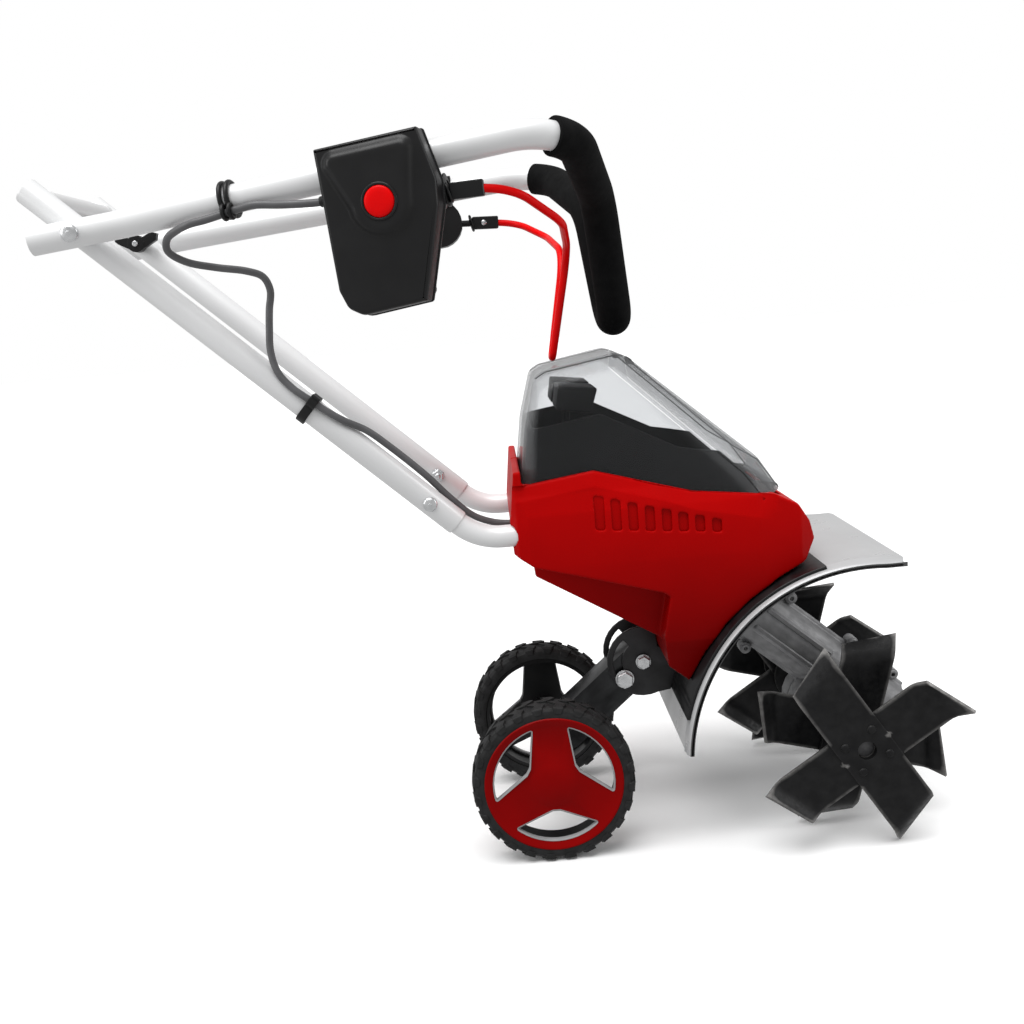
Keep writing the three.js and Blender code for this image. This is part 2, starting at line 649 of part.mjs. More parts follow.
function wheelArm() {
  const half = ARM_HEIGHT / 2;
  const length = ARM_LENGTH;
  const nose = arc([length, 0], 15, -90, 90, 6);
  const heel = arc([0, 0], half, 90, 270, 8);
  const outline = [...heel, [length - 22, -half], ...nose, [length - 22, half]];
  const channel = [
    [-half - 5, -half + 3], [-half - 5, half + 5], [length + 30, half + 5], [length + 30, -14],
    [length - 12, -14], [length - 22, -half + 3],
  ];
  const outer = sidePlate(outline, -ARM_HALF_WIDTH, ARM_HALF_WIDTH);
  const inner = sidePlate(channel, -ARM_HALF_WIDTH + 3, ARM_HALF_WIDTH - 3);
  const pivotBore = rod([0, -30, 0], [0, 30, 0], 5.4, 16);
  const lockBore = rod([LOCK_RADIUS, -30, 0], [LOCK_RADIUS, 30, 0], 4.3, 12);
  const sleeve = rod([length, -ARM_HALF_WIDTH, 0], [length, ARM_HALF_WIDTH, 0], 11, 16);
  const axleBore = rod([length, -30, 0], [length, 30, 0], AXLE_RADIUS + GAP, 12);
  const arm = cut(join(cut(outer, inner, pivotBore, lockBore), sleeve), axleBore);
  // Drawn along +x with its closed web down, then turned over to point down and back.
  return arm.rotate([0, 180 - ARM_ANGLE, 0]).translate([pivotX, 0, pivotZ]);
}
add("wheel_arm", wheelArm(), "black", 0.45, 0.5);

const [axleX, axleZ] = alongArm(ARM_LENGTH);
const axleAt = (y) => [axleX, y, axleZ];
const axleEnd = WHEEL_Y + WHEEL_WIDTH / 2 - 6;
add("wheel_axle", rod(axleAt(-axleEnd), axleAt(axleEnd), AXLE_RADIUS, 12), "steel", 0.35, 0.9);

function tyre(side) {
  const half = WHEEL_WIDTH / 2;
  const bead = RIM_RADIUS + GAP;
  const profile = [
    [bead, -half + 2], [WHEEL_RADIUS - 7, -half + 1], [WHEEL_RADIUS, -half + 7],
    [WHEEL_RADIUS, half - 7], [WHEEL_RADIUS - 7, half - 1], [bead, half - 2], [bead, -half + 2],
  ];
  return turned(profile, axleAt(side * WHEEL_Y), [0, 1, 0], 32);
}

// A dished rim with three windows between its three broad spokes.
function rim(side) {
  const half = WHEEL_WIDTH / 2;
  const inside = RIM_RADIUS - 4;
  const wall = [
    [inside, -half + 3], [RIM_RADIUS, -half + 3], [RIM_RADIUS, half - 3], [inside, half - 3],
    [inside, -half + 3],
  ];
  const barrel = turned(wall, [0, 0, 0], [0, 1, 0], 32);
  const disc = rod([0, side * (half - 9), 0], [0, side * (half - 3), 0], RIM_RADIUS - 1, 32);
  const hub = rod([0, side * (-half - 4), 0], [0, side * (half - 1.5), 0], 15, 14);
  const windows = [30, 150, 270].map((angle) => {
    const outline = [
      ...arc([0, 0], RIM_RADIUS - 9, angle - 37, angle + 37, 6),
      ...arc([0, 0], 30, angle + 14, angle - 14, 1),
    ];
    return sidePlate(outline, -20, 20);
  });
  const bore = rod([0, -side * 40, 0], [0, side * (half - 4.5), 0], AXLE_RADIUS + GAP, 12);
  const open = cut(disc, ...windows);
  return cut(join(barrel, open, hub), bore).translate(axleAt(side * WHEEL_Y));
}
for (const [name, side] of SIDES) {
  add("tyre_" + name, tyre(side), "rubber", 0.9);
  add("rim_" + name, rim(side), "red", 0.4);
}

// ---------------------------------------------------------------- lower tubes and middle handle
const legAngle = Math.atan2(FOLD_PIVOT[1] - LEG_END[1], LEG_END[0] - FOLD_PIVOT[0]);
const onLeg = (x) => LEG_END[1] + (LEG_END[0] - x) * Math.tan(legAngle);
const boltZ = onLeg(TUBE_BOLT_X);

for (const [name, side] of SIDES) {
  const y = side * LEG_Y;
  const kneeX = LEG_END[0] + (LEG_END[1] - 333) / Math.tan(legAngle);
  const path = new BentPath([[58, y, 333], [kneeX, y, 333, 60], [-112, y, onLeg(-112)]], 12);
  const bolt = rod([TUBE_BOLT_X, y - 20, boltZ], [TUBE_BOLT_X, y + 20, boltZ], BOLT_BORE, 10);
  add("lower_tube_" + name, cut(tubeAlong(path, LOWER_TUBE_RADIUS, 9.2), bolt), "tube", 0.3, 0.4);
}

function middleHandle() {
  const legs = SIDES.map(([, side]) => {
    const y = side * LEG_Y;
    const path = new BentPath([[LEG_END[0], y, LEG_END[1]], [LEG_TIP_X, y, onLeg(LEG_TIP_X)]]);
    const bores = [FOLD_PIVOT[0], TUBE_BOLT_X].map((x) =>
      rod([x, y - 20, onLeg(x)], [x, y + 20, onLeg(x)], BOLT_BORE, 10),
    );
    return cut(tubeAlong(path, TUBE_RADIUS, TUBE_BORE, 12), ...bores);
  });
  const inset = LEG_Y - TUBE_BORE - 0.4;
  const barZ = onLeg(CROSS_TUBE_X);
  const bar = rod([CROSS_TUBE_X, -inset, barZ], [CROSS_TUBE_X, inset, barZ], 10.8, 14);
  return join(...legs, bar);
}
add("middle_handle", middleHandle(), "tube", 0.3, 0.4);

// A bolt across one handle tube, head outside.
function tubeBolt([x, z], side, outerY, innerY, headRadius) {
  const shank = rod([x, side * (outerY + 0.5), z], [x, side * innerY, z], 3, 10);
  const head = turned(
    [[0, 0], [headRadius, 0], [headRadius * 0.8, 2.6], [headRadius * 0.35, 3.8], [0, 4]],
    [x, side * outerY, z], [0, side, 0], 14,
  );
  return join(shank, head);
}
for (const [name, side] of SIDES) {
  const face = LEG_Y + TUBE_RADIUS + GAP;
  const inner = LEG_Y - TUBE_RADIUS;
  const at = (y) => [TUBE_BOLT_X, side * y, boltZ];
  const bolt = tubeBolt([TUBE_BOLT_X, boltZ], side, face, inner - 10, 7);
  const nut = rod(at(inner - 8), at(inner - GAP), 7, 6);
  add("tube_bolt_" + name, join(bolt, nut), "steel", 0.35, 0.9);
}

// ---------------------------------------------------------------- upper handle
// A point on the straight, spreading run of the handle, on one side.
function onSplay(x, side) {
  const [startX, startY, startZ] = SPLAY_START;
  const share = (x - startX) / SPLAY_RUN[0];
  return [x, side * (startY + SPLAY_RUN[1] * share), startZ + SPLAY_RUN[2] * share];
}
const splayEnd = SPLAY_START[0] + SPLAY_RUN[0];

// One tube from the right fold pivot, round the narrow loop and back to the left one.
function upperHandlePath() {
  const right = [
    [-410, -SPLAY_START[1], 644.3], onSplay(SPLAY_START[0], -1), onSplay(splayEnd, -1),
    [107, -52, 645], [119.5, -21.5, 530],
  ];
  const bends = [0, 120, 40, 50, 26];
  const half = right.map(([x, y, z], i) => [x, y, z, bends[i]]);
  return new BentPath([...half, ...half.map(([x, y, z, r]) => [x, -y, z, r]).reverse()], 27);
}
const handlePath = upperHandlePath();
const rightHeading = new THREE.Vector3(SPLAY_RUN[0], -SPLAY_RUN[1], SPLAY_RUN[2]).normalize();

function upperHandle() {
  const [foldX, foldZ] = FOLD_PIVOT;
  const bores = SIDES.map(([, side]) =>
    rod([foldX, side * 95, foldZ], [foldX, side * 140, foldZ], BOLT_BORE, 10),
  );
  return cut(tubeAlong(handlePath, TUBE_RADIUS, TUBE_BORE, 12), ...bores);
}
add("upper_handle", upperHandle(), "tube", 0.3, 0.4);

// The foam starts part of the way round the first bend on each side.
const firstFoam = handlePath.stations.findIndex((p) => p.x > 52);
const foamPath = handlePath.between(firstFoam, handlePath.steps - firstFoam);
add("foam_grip", tubeAlong(foamPath, FOAM_RADIUS, TUBE_RADIUS + 0.45, 12), "black", 0.95);

for (const [name, side] of SIDES) {
  const outer = SPLAY_START[1] + TUBE_RADIUS + GAP;
  const tip = LEG_Y - TUBE_RADIUS - 16;
  add("fold_bolt_" + name, tubeBolt(FOLD_PIVOT, side, outer, tip, 8), "steel", 0.35, 0.9);
}

function wingNut(side) {
  const [x, z] = FOLD_PIVOT;
  const inner = LEG_Y - TUBE_RADIUS - 0.5;
  const wing = [
    [-8, -5], [-21, 2], [-23, 9], [-17, 11], [-7, 6], [7, 6], [17, 11], [23, 9], [21, 2], [8, -5],
  ];
  const y0 = side > 0 ? inner - 11 : -inner + 2;
  const wings = sidePlate(wing.map(([a, b]) => [a + x, b + z]), y0, y0 + 9);
  const hub = rod([x, side * (inner - 12), z], [x, side * inner, z], 9, 14);
  const bore = rod([x, side * (inner - 30), z], [x, side * (inner + 5), z], 3.3, 10);
  return cut(join(wings, hub), bore);
}
for (const [name, side] of SIDES) add("wing_nut_" + name, wingNut(side), "black", 0.5);

// ---------------------------------------------------------------- switch box, on the right tube
// Its own frame: x along the tube, y inwards, z up, from the tube's centre line.
const boxFrame = new THREE.Group();
const boxX = rightHeading;
const boxY = new THREE.Vector3(-boxX.y, boxX.x, 0).normalize();
const boxZ = boxX.clone().cross(boxY);
boxFrame.quaternion.setFromRotationMatrix(new THREE.Matrix4().makeBasis(boxX, boxY, boxZ));
boxFrame.position.set(...onSplay(-90, -1));
tiller.add(boxFrame);

const boxOutline = [
  [-52, 17], [41, 17], [51, -22], [46, -46], [26, -119], [-40, -121], [-50, -115], [-54, -104],
];
const boxHollow = [
  [-48, -17], [45, -17], [47, -23], [42, -46], [23, -115], [-39, -117], [-50, -102],
];
const SPLIT_Y = -15;
const GLAND = [-10.5, -22]; // where the cable leaves through the rear wall
const [BUTTON_X, BUTTON_Z] = [-2.5, -36];

// A point of the box's own frame.
function boxPoint(x, y, z) {
  const point = boxFrame.position.clone();
  return point.addScaledVector(boxX, x).addScaledVector(boxY, y).addScaledVector(boxZ, z).toArray();
}

function switchBoxFront() {
  const face = sidePlate(boxOutline, -39, SPLIT_Y);
  const round = arc([BUTTON_X, BUTTON_Z], 25, 0, -180, 8);
  const tongue = sidePlate([[-49, 13], [38, 13], ...round], -45, -38);
  const hollow = sidePlate(boxHollow, -36, SPLIT_Y + 1);
  const buttonHole = rod([BUTTON_X, -50, BUTTON_Z], [BUTTON_X, -30, BUTTON_Z], 13.5, 20);
  return cut(join(face, tongue), hollow, buttonHole);
}
add("switch_box_front", switchBoxFront(), "black", 0.45, 0, boxFrame);

function switchBoxBack() {
  const body = sidePlate(boxOutline, SPLIT_Y + GAP, 19);
  const collar = rod([44, 0, -33], [56, 0, -31.5], 15, 16).intersect(block([47, -20, -60], [56, 20, 0]));
  const hollow = sidePlate(boxHollow, SPLIT_Y - 1, 16);
  const tubeBore = rod([-70, 0, 0], [70, 0, 0], clearOf(TUBE_RADIUS, 14), 14);
  const leverSlot = block([38, -8, -42], [70, 8, -22]);
  const cableBore = rod([-70, ...GLAND], [-45, ...GLAND], clearOf(CABLE_RADIUS, 8), 8);
  return cut(join(body, collar), hollow, tubeBore, leverSlot, cableBore);
}
add("switch_box_back", switchBoxBack(), "black", 0.45, 0, boxFrame);

const buttonCap = rod([BUTTON_X, -48, BUTTON_Z], [BUTTON_X, -33.5, BUTTON_Z], 13, 20);
const buttonStem = rod([BUTTON_X, -34, BUTTON_Z], [BUTTON_X, -29, BUTTON_Z], 5, 12);
add("lockout_button", join(buttonCap, buttonStem), "brightRed", 0.4, 0, boxFrame);
const switchBody = block([-16, -24.5, -46], [14, -12, -30]);
const microswitch = join(switchBody, block([-8, -12.2, -44], [6, 4, -32]));
add("microswitch", microswitch, "black", 0.5, 0, boxFrame);

// ---------------------------------------------------------------- bail and its levers
const [bailX, bailZ] = BAIL_PIVOT;
const LEVERS = {
  right: { side: -1, root: onSplay(bailX, -1)[1], tip: [-30, -176, 652], end: [-1.5, -178, 653] },
  left: { side: 1, root: onSplay(bailX, 1)[1], tip: [-15, 176, 647], end: [14, 178, 646] },
};

function bailLever({ root, tip, end }) {
  const boss = rod([bailX, root - 4, bailZ], [bailX, root + 4, bailZ], 6, 14);
  const arm = rod([bailX, root, bailZ], tip, 3.6, 10);
  const edge = [[0, LINK_HALF_WIDTH, LINK_HALF_HEIGHT], [0, LINK_HALF_WIDTH, -LINK_HALF_HEIGHT]];
  const corners = mirrored(edge);
  const ends = [[tip[0] - 1, tip[1], tip[2]], end];
  const link = hull(ends.flatMap(([x, y, z]) => corners.map(([, b, c]) => [x, y + b, z + c])));
  return join(boss, arm, link);
}
for (const [name, lever] of Object.entries(LEVERS)) {
  add("bail_lever_" + name, bailLever(lever), "black", 0.45);
}

function bailWire() {
  const { right, left } = LEVERS;
  const start = (lever) => [lever.end[0] + GAP + 0.2, lever.end[1], lever.end[2]];
  const out = [
    start(right), [24, -178, 649.5, 22], [66, -128, 622, 26], [76, -33, 601, 22], [54.5, -9, 496, 8.4],
  ];
  const back = [
    [54.5, 9, 496, 8.4], [76, 33, 601, 22], [66, 128, 622, 26], [36, 178, 643, 22], start(left),
  ];
  return tubeAlong(new BentPath([...out, ...back], 24), BAIL_RADIUS, 0, 8);
}
add("bail_wire", bailWire(), "brightRed", 0.4);

// The left pivot housing hangs from the left tube.
function bailHousing() {
  const y = LEVERS.left.root;
  const drum = rod([bailX, y - 15, bailZ], [bailX, y + 15, bailZ], 26, 24);
  const [, clampY, clampZ] = onSplay(bailX, 1);
  const low = [bailX - 17, clampY - 17, clampZ - 18];
  const clamp = block(low, [bailX + 17, clampY + 17, clampZ + 16]);
  const tube = rod(onSplay(-120, 1), onSplay(20, 1), clearOf(TUBE_RADIUS, 14), 14);
  const pocket = block([bailX - 8, y - 7, bailZ - 8], [bailX + 40, y + 13, bailZ + 14]);
  return cut(join(drum, clamp), tube, pocket);
}
add("bail_housing", bailHousing(), "black", 0.45);

// ---------------------------------------------------------------- cable and clips
const UPPER_CABLE = [
  boxPoint(-50, ...GLAND), boxPoint(-64, ...GLAND), [-176, -160, 654.5], [-202, -156, 656.5],
  [-216, -152.5, 654.5], [-229, -149.5, 652],
];
const LOOP_CABLE = [
  [-229, -149.5, 652], [-247, -149, 648], [-260, -147, 646], [-273, -140, 642.5], [-286, -130, 636],
  [-289, -121, 626], [-276, -114, 616], [-251, -108, 609], [-224, -103, 603.5], [-211, -100, 597.5],
  [-206, -99, 585], [-209, -99, 567], [-211, -100, 549], [-212, -101.5, 529], [-207, -105, 509.5],
  [-195, -107, 494], [-184, -107.2, 484.6],
];
const LOWER_CABLE = [
  [-184, -107.2, 484.6], [-176, -107, 478.3], [-167, -106, 470.6], [-150, -102.5, 458.5],
  [-132, -95, 447.5], [-111.5, -87, 428.5], [-81, -80, 397.5], [-60, -76, 373], [-39, -72.5, 352.5],
  [-19, -70, 343.5], [-1, -70, 341], [14, -70, 341],
];

function cable(points, steps, trimStart, trimEnd) {
  const vectors = points.map((p) => new THREE.Vector3(...p));
  const shorten = (end, next) => end.add(next.clone().sub(end).setLength(0.7));
  if (trimStart) shorten(vectors[0], vectors[1]);
  if (trimEnd) shorten(vectors[vectors.length - 1], vectors[vectors.length - 2]);
  const curve = new THREE.CatmullRomCurve3(vectors, false, "centripetal");
  return tubeAlong(curve, CABLE_RADIUS, 0, 7, steps);
}
add("cable_upper", cable(UPPER_CABLE, 10, false, true), "black", 0.6);
add("cable_loop", cable(LOOP_CABLE, 34, true, true), "black", 0.6);
add("cable_lower", cable(LOWER_CABLE, 20, true, false), "black", 0.6);

// A double ring: one round the tube, one round the cable beside it.
function cableClip(tubeCentre, cableCentre, heading, length) {
  const axis = new THREE.Vector3(...heading).normalize();
  const through = (centre, radius, extra, sides) => {
    const at = (reach) => new THREE.Vector3(...centre).addScaledVector(axis, reach).toArray();
    return rod(at(-length / 2 - extra), at(length / 2 + extra), radius, sides);
  };
  const tubeRing = through(tubeCentre, TUBE_RADIUS + 3.2, 0, 14);
  const cableRing = through(cableCentre, CABLE_RADIUS + 2.6, 0, 10);
  const tubeHole = through(tubeCentre, clearOf(TUBE_RADIUS, 14), 8, 14);
  return cut(join(tubeRing, cableRing), tubeHole, through(cableCentre, CABLE_RADIUS + 1, 8, 10));
}
const upperClip = cableClip(onSplay(-225, -1), [-225, -150.4, 653.3], rightHeading.toArray(), 9);
add("cable_clip_upper", upperClip, "black", 0.6);
const legHeading = [-Math.cos(legAngle), 0, Math.sin(legAngle)];
const legClipX = -184;
const legClipAt = [legClipX, -LEG_Y, onLeg(legClipX)];
add("cable_clip_lower", cableClip(legClipAt, [-177.4, -106.9, 479.4], legHeading, 9), "black", 0.6);

export default tiller;
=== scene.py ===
"""The looks of the garden tiller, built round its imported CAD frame.

Everything is in metres in the row frame. Routes and outlines that repeat the part's own are given
in its construction frame, in millimetres, and pass through at().
"""
import math

import bmesh
import bpy
from mathutils import Matrix, Vector
from mathutils.geometry import tessellate_polygon


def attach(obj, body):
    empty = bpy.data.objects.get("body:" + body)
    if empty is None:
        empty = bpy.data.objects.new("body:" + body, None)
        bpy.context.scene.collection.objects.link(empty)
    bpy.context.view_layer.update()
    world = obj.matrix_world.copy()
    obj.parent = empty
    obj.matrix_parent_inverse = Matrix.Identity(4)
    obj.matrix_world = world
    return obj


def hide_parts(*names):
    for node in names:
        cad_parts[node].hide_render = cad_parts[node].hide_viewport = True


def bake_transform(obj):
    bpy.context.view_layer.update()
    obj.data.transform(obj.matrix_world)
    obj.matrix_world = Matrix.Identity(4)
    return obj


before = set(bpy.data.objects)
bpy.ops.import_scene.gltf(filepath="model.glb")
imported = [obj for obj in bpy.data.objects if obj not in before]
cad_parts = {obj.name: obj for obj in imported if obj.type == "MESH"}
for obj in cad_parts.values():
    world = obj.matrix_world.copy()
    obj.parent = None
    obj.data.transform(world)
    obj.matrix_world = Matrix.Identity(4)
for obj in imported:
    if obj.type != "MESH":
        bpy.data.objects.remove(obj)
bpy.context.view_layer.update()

# ---------------------------------------------------------------- frame and shared dimensions
MM = 0.001
SHIFT = Vector((1.8, 7.69, 0.0))  # construction frame to row frame
SIDES = (("right", -1), ("left", 1))  # right is the side of -Y

TUBE_R, TUBE_BORE = 12.5, 11.2
LOWER_TUBE_R, LOWER_BORE = 10.9, 9.2
LEG_Y, LEG_ANGLE = 92.0, math.radians(43.28)
CROSS_X, CROSS_R = -406.0, 10.8  # the tube across the middle legs
SPLAY_START = (-330.0, 117.5, 653.0)
SPLAY_RUN = (402.0, 75.5, 44.0)
SPLAY_HEADING = Vector((SPLAY_RUN[0], -SPLAY_RUN[1], SPLAY_RUN[2])).normalized()  # right side
BOX_X = -81.5  # where the switch box stands along the right tube
FOLD_PIVOT = (-371.0, 648.5)
FOAM_R, GRIP_X = 17.0, 57.0  # the foam's radius, and where it starts along the tube
CABLE_R, BAIL_R = 3.4, 3.7
BAIL_PIVOT = (-53.0, 648.0)
ARM_PIVOT, LOCK_REACH, ARM_SLOPE = (124.5, 171.0), 27.0, math.radians(39.9)
WHEEL_CENTRE = (17.9, 82.0)
WHEEL_R, WHEEL_HALF, WHEEL_Y, RIM_R = 82.0, 17.5, 98.0, 67.0
TINE_AXLE = (321.0, 102.0)
FENDER_CENTRE, FENDER_FOOT = (350.0, 90.0), 176
FENDER_HALF, FENDER_TURN, FENDER_RIB = 126.0, 121.0, 110.5  # distances from the middle plane
WORM_START = (215.0, 237.0)
WORM_SLOPE = math.radians(40.9)


def at(x, y, z):
    """A construction-frame point in millimetres as a row-frame point in metres."""
    return (Vector((x, y, z)) + SHIFT) * MM


def on_splay(x, side):
    """A point on the straight, spreading run of the upper handle."""
    share = (x - SPLAY_START[0]) / SPLAY_RUN[0]
    y = SPLAY_START[1] + SPLAY_RUN[1] * share
    return (x, side * y, SPLAY_START[2] + SPLAY_RUN[2] * share)


def on_leg(x):
    return 350.0 + (-54.0 - x) * math.tan(LEG_ANGLE)


def worm_point(along, above=0.0, y=0.0):
    """A point so far down the gear case's axis, and above it."""
    x = WORM_START[0] + along * math.cos(WORM_SLOPE) + above * math.sin(WORM_SLOPE)
    z = WORM_START[1] - along * math.sin(WORM_SLOPE) + above * math.cos(WORM_SLOPE)
    return (x, y, z)


# ---------------------------------------------------------------- materials
def fill(node, inputs):
    """Each named input takes a value, or a link from another node's output."""
    for key, value in inputs.items():
        if isinstance(value, bpy.types.NodeSocket):
            node.id_data.links.new(value, node.inputs[key])
        else:
            node.inputs[key].default_value = value


def grower(tree):
    """A call that adds a node to the tree and gives back one of its outputs."""
    def grow(kind, output, inputs=None, **settings):
        node = tree.nodes.new("ShaderNode" + kind)
        for key, value in settings.items():
            setattr(node, key, value)
        fill(node, inputs or {})
        return node.outputs[output]
    return grow


def material(name):
    mat = bpy.data.materials.new(name)
    mat.use_nodes = True
    return mat, mat.node_tree.nodes["Principled BSDF"], grower(mat.node_tree)


def surface(name, colour, second, patch, rough, spread, grain, grain_size,
            metal=0.0, coat=0.0, wear=None, wear_at=0.56, edge=0.6, shine=0.5, painted_shade=None):
    """A node material. Patches of a second colour, uneven gloss, fine grain and worn edges.

    patch, grain_size and edge are in millimetres; wear is the colour that shows along worn edges;
    painted_shade is painted shade, the colour darker towards the bottom: the height where the
    colour is deepest, the height where it is full, and how deep.
    """
    mat, shader, grow = material(name)
    place = grow("TexCoord", "Object")

    def noise(size, detail=4.0):
        return grow("TexNoise", "Fac",
                    {"Vector": place, "Scale": 1.0 / (size * MM), "Detail": detail})

    paint = grow("ValToRGB", "Color", {"Fac": noise(patch)})
    stops = paint.node.color_ramp.elements
    for stop, spot, tint in zip(stops, (0.35, 0.7), (colour, second)):
        stop.position, stop.color = spot, (*tint, 1.0)
    # Painted shade: the colour is scaled down towards the bottom, where less light falls.
    if painted_shade:
        low, high, deepest = painted_shade
        height = grow("SeparateXYZ", "Z", {"Vector": place})
        depth = grow("MapRange", "Result", {"Value": height, "From Min": low * MM,
                                            "From Max": high * MM, "To Min": deepest})
        paint = grow("VectorMath", "Vector", {"Vector": paint, "Scale": depth},
                     operation="SCALE")
    if wear:
        edges = grow("NewGeometry", "Pointiness")
        worn = grow("MapRange", "Result",
                    {"Value": edges, "From Min": wear_at, "From Max": wear_at + 0.07})
        spots = grow("Math", "Value", {0: worn, 1: noise(6.0)}, operation="MULTIPLY")
        paint = grow("Mix", "Result", {"Factor": spots, "A": paint, "B": (*wear, 1.0)},
                     data_type="RGBA")
    gloss = grow("MapRange", "Result",
                 {"Value": noise(patch * 0.4), "From Min": 0.3, "From Max": 0.7,
                  "To Min": rough - spread, "To Max": rough + spread})
    soft = grow("Bevel", "Normal", {"Radius": edge * MM}, samples=4)
    bump = grow("Bump", "Normal", {"Height": noise(grain_size, 2.0), "Normal": soft,
                                   "Strength": grain, "Distance": 0.3 * MM})
    fill(shader, {"Base Color": paint, "Roughness": gloss, "Normal": bump, "Metallic": metal,
                  "Coat Weight": coat, "Coat Roughness": 0.12, "Specular IOR Level": shine})
    return mat


def clear_plastic(name, tint, body, least, most):
    """Smoky clear sheet: see-through face on, denser and glossier at a glancing angle."""
    mat, shader, grow = material(name)
    aslant = grow("LayerWeight", "Facing", {"Blend": 0.35})
    amount = grow("MapRange", "Result", {"Value": aslant, "To Min": least, "To Max": most})
    haze = grow("TexNoise", "Fac", {"Vector": grow("TexCoord", "Object"),
                                    "Scale": 1.0 / (30 * MM)})
    gloss = grow("MapRange", "Result", {"Value": haze, "To Min": 0.05, "To Max": 0.16})
    fill(shader, {"Base Color": (*body, 1.0), "Specular IOR Level": 0.8, "Roughness": gloss})
    through = grow("BsdfTransparent", "BSDF", {"Color": (*tint, 1.0)})
    mix = grow("MixShader", "Shader", {"Fac": amount, 1: through, 2: shader.outputs["BSDF"]})
    fill(mat.node_tree.nodes["Material Output"], {"Surface": mix})
    return mat


# The red plastic carries painted shade: full colour at 350 mm high, down to 0.36 of it at 205 mm.
RED = surface("red_plastic", (0.45, 0.0003, 0.0005), (0.49, 0.0004, 0.0006), 60, 0.40, 0.05,
              0.06, 0.9, shine=0.05, painted_shade=(205, 350, 0.36))
RIM_RED = surface("rim_red", (0.22, 0.0003, 0.0004), (0.25, 0.0004, 0.0005), 40, 0.36, 0.05, 0.06,
                  0.9, shine=0.06)
BRIGHT = surface("bright_red", (0.82, 0.0005, 0.001), (0.74, 0.001, 0.002), 25, 0.34, 0.05, 0.05,
                 0.7, shine=0.09)
BLACK = surface("black_plastic", (0.006, 0.006, 0.0065), (0.009, 0.009, 0.0095), 35, 0.34, 0.05,
                0.07, 0.7, shine=0.30)
TRAY = surface("tray_plastic", (0.012, 0.012, 0.0125), (0.015, 0.015, 0.016), 40, 0.48, 0.06,
               0.05, 0.8, shine=0.22)
FOAM = surface("grip_foam", (0.003, 0.003, 0.0032), (0.006, 0.006, 0.0062), 14, 0.92, 0.04, 0.8,
               1.1, edge=1.5, shine=0.12)
PAINT = surface("tube_paint", (0.84, 0.845, 0.85), (0.80, 0.805, 0.81), 120, 0.32, 0.03, 0.03,
                0.6, metal=0.1, coat=0.15)
STEEL = surface("bright_steel", (0.80, 0.81, 0.82), (0.62, 0.63, 0.64), 8, 0.28, 0.09, 0.15, 0.5,
                metal=1.0)
BLACK_STEEL = surface("black_steel", (0.014, 0.014, 0.015), (0.028, 0.028, 0.03), 22, 0.42, 0.08,
                      0.2, 0.8, metal=0.2, wear=(0.30, 0.30, 0.31), wear_at=0.60)
ARM_STEEL = surface("arm_steel", (0.030, 0.031, 0.032), (0.055, 0.056, 0.058), 30, 0.34, 0.07,
                    0.2, 0.8, metal=0.7, wear=(0.4, 0.4, 0.41), wear_at=0.60)
CAST = surface("cast_case", (0.20, 0.20, 0.205), (0.30, 0.30, 0.305), 16, 0.50, 0.10, 0.7, 1.3,
               metal=0.55, wear=(0.62, 0.62, 0.63), wear_at=0.57)
FENDER = surface("fender_sheet", (0.42, 0.425, 0.43), (0.47, 0.475, 0.48), 90, 0.30, 0.04, 0.02,
                 0.8, metal=0.1, coat=0.3, edge=0.1)
# A much darker copy of the fender paint for strips under the sheet's side edges: painted shade
# under the panel.
PAINTED_SHADE_HEM = surface("fender_hem_painted_shade", (0.06, 0.061, 0.062), (0.10, 0.101, 0.102), 40, 0.35, 0.06, 0.05, 0.8,
              metal=0.3)
LINER = surface("window_liner", (0.28, 0.28, 0.285), (0.36, 0.36, 0.365), 20, 0.4, 0.06, 0.05, 0.8)
BLADE = surface("blade_steel", (0.005, 0.005, 0.0055), (0.013, 0.013, 0.0135), 12, 0.40, 0.10,
                0.35, 1.6, metal=0.35, wear=(0.36, 0.35, 0.34), wear_at=0.548, edge=0.8,
                shine=0.35)
RUBBER = surface("tyre_rubber", (0.008, 0.008, 0.008), (0.020, 0.020, 0.021), 10, 0.66, 0.08, 0.4,
                 0.9, edge=1.0, shine=0.3)
CABLE = surface("cable_rubber", (0.085, 0.085, 0.088), (0.12, 0.12, 0.125), 25, 0.42, 0.06, 0.15,
                0.8)
COPPER = surface("copper_parts", (0.50, 0.25, 0.13), (0.62, 0.34, 0.2), 6, 0.35, 0.08, 0.2, 0.6,
                 metal=0.9)
BOARD = surface("circuit_board", (0.01, 0.10, 0.03), (0.02, 0.16, 0.05), 5, 0.4, 0.08, 0.3, 0.8)
SEAL = surface("cover_seal", (0.05, 0.05, 0.052), (0.08, 0.08, 0.082), 30, 0.4, 0.06, 0.05, 0.8)
CLEAR = clear_plastic("clear_cover", (0.90, 0.905, 0.91), (0.24, 0.245, 0.25), 0.03, 0.62)


# ---------------------------------------------------------------- mesh helpers
def added(name, data):
    obj = bpy.data.objects.new(name, data)
    bpy.context.collection.objects.link(obj)
    return obj


def shaded(mesh, sharp):
    """The mesh, smooth except along edges sharper than so many degrees."""
    mesh.shade_smooth()
    mesh.set_sharp_from_angle(angle=math.radians(sharp))
    return mesh


def linked(name, bm, finish, sharp=38.0):
    """A new object from a bmesh, smooth except along sharp edges."""
    bmesh.ops.recalc_face_normals(bm, faces=bm.faces)
    mesh = bpy.data.meshes.new(name)
    bm.to_mesh(mesh)
    bm.free()
    mesh.materials.append(finish)
    return added(name, shaded(mesh, sharp))


def placed(obj, finish, body, nodes=(), name=None):
    """The object rides on its body and stands for its CAD nodes."""
    if name:
        obj.name = obj.data.name = name
    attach(obj, body)
    if nodes:
        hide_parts(*nodes)
    return obj


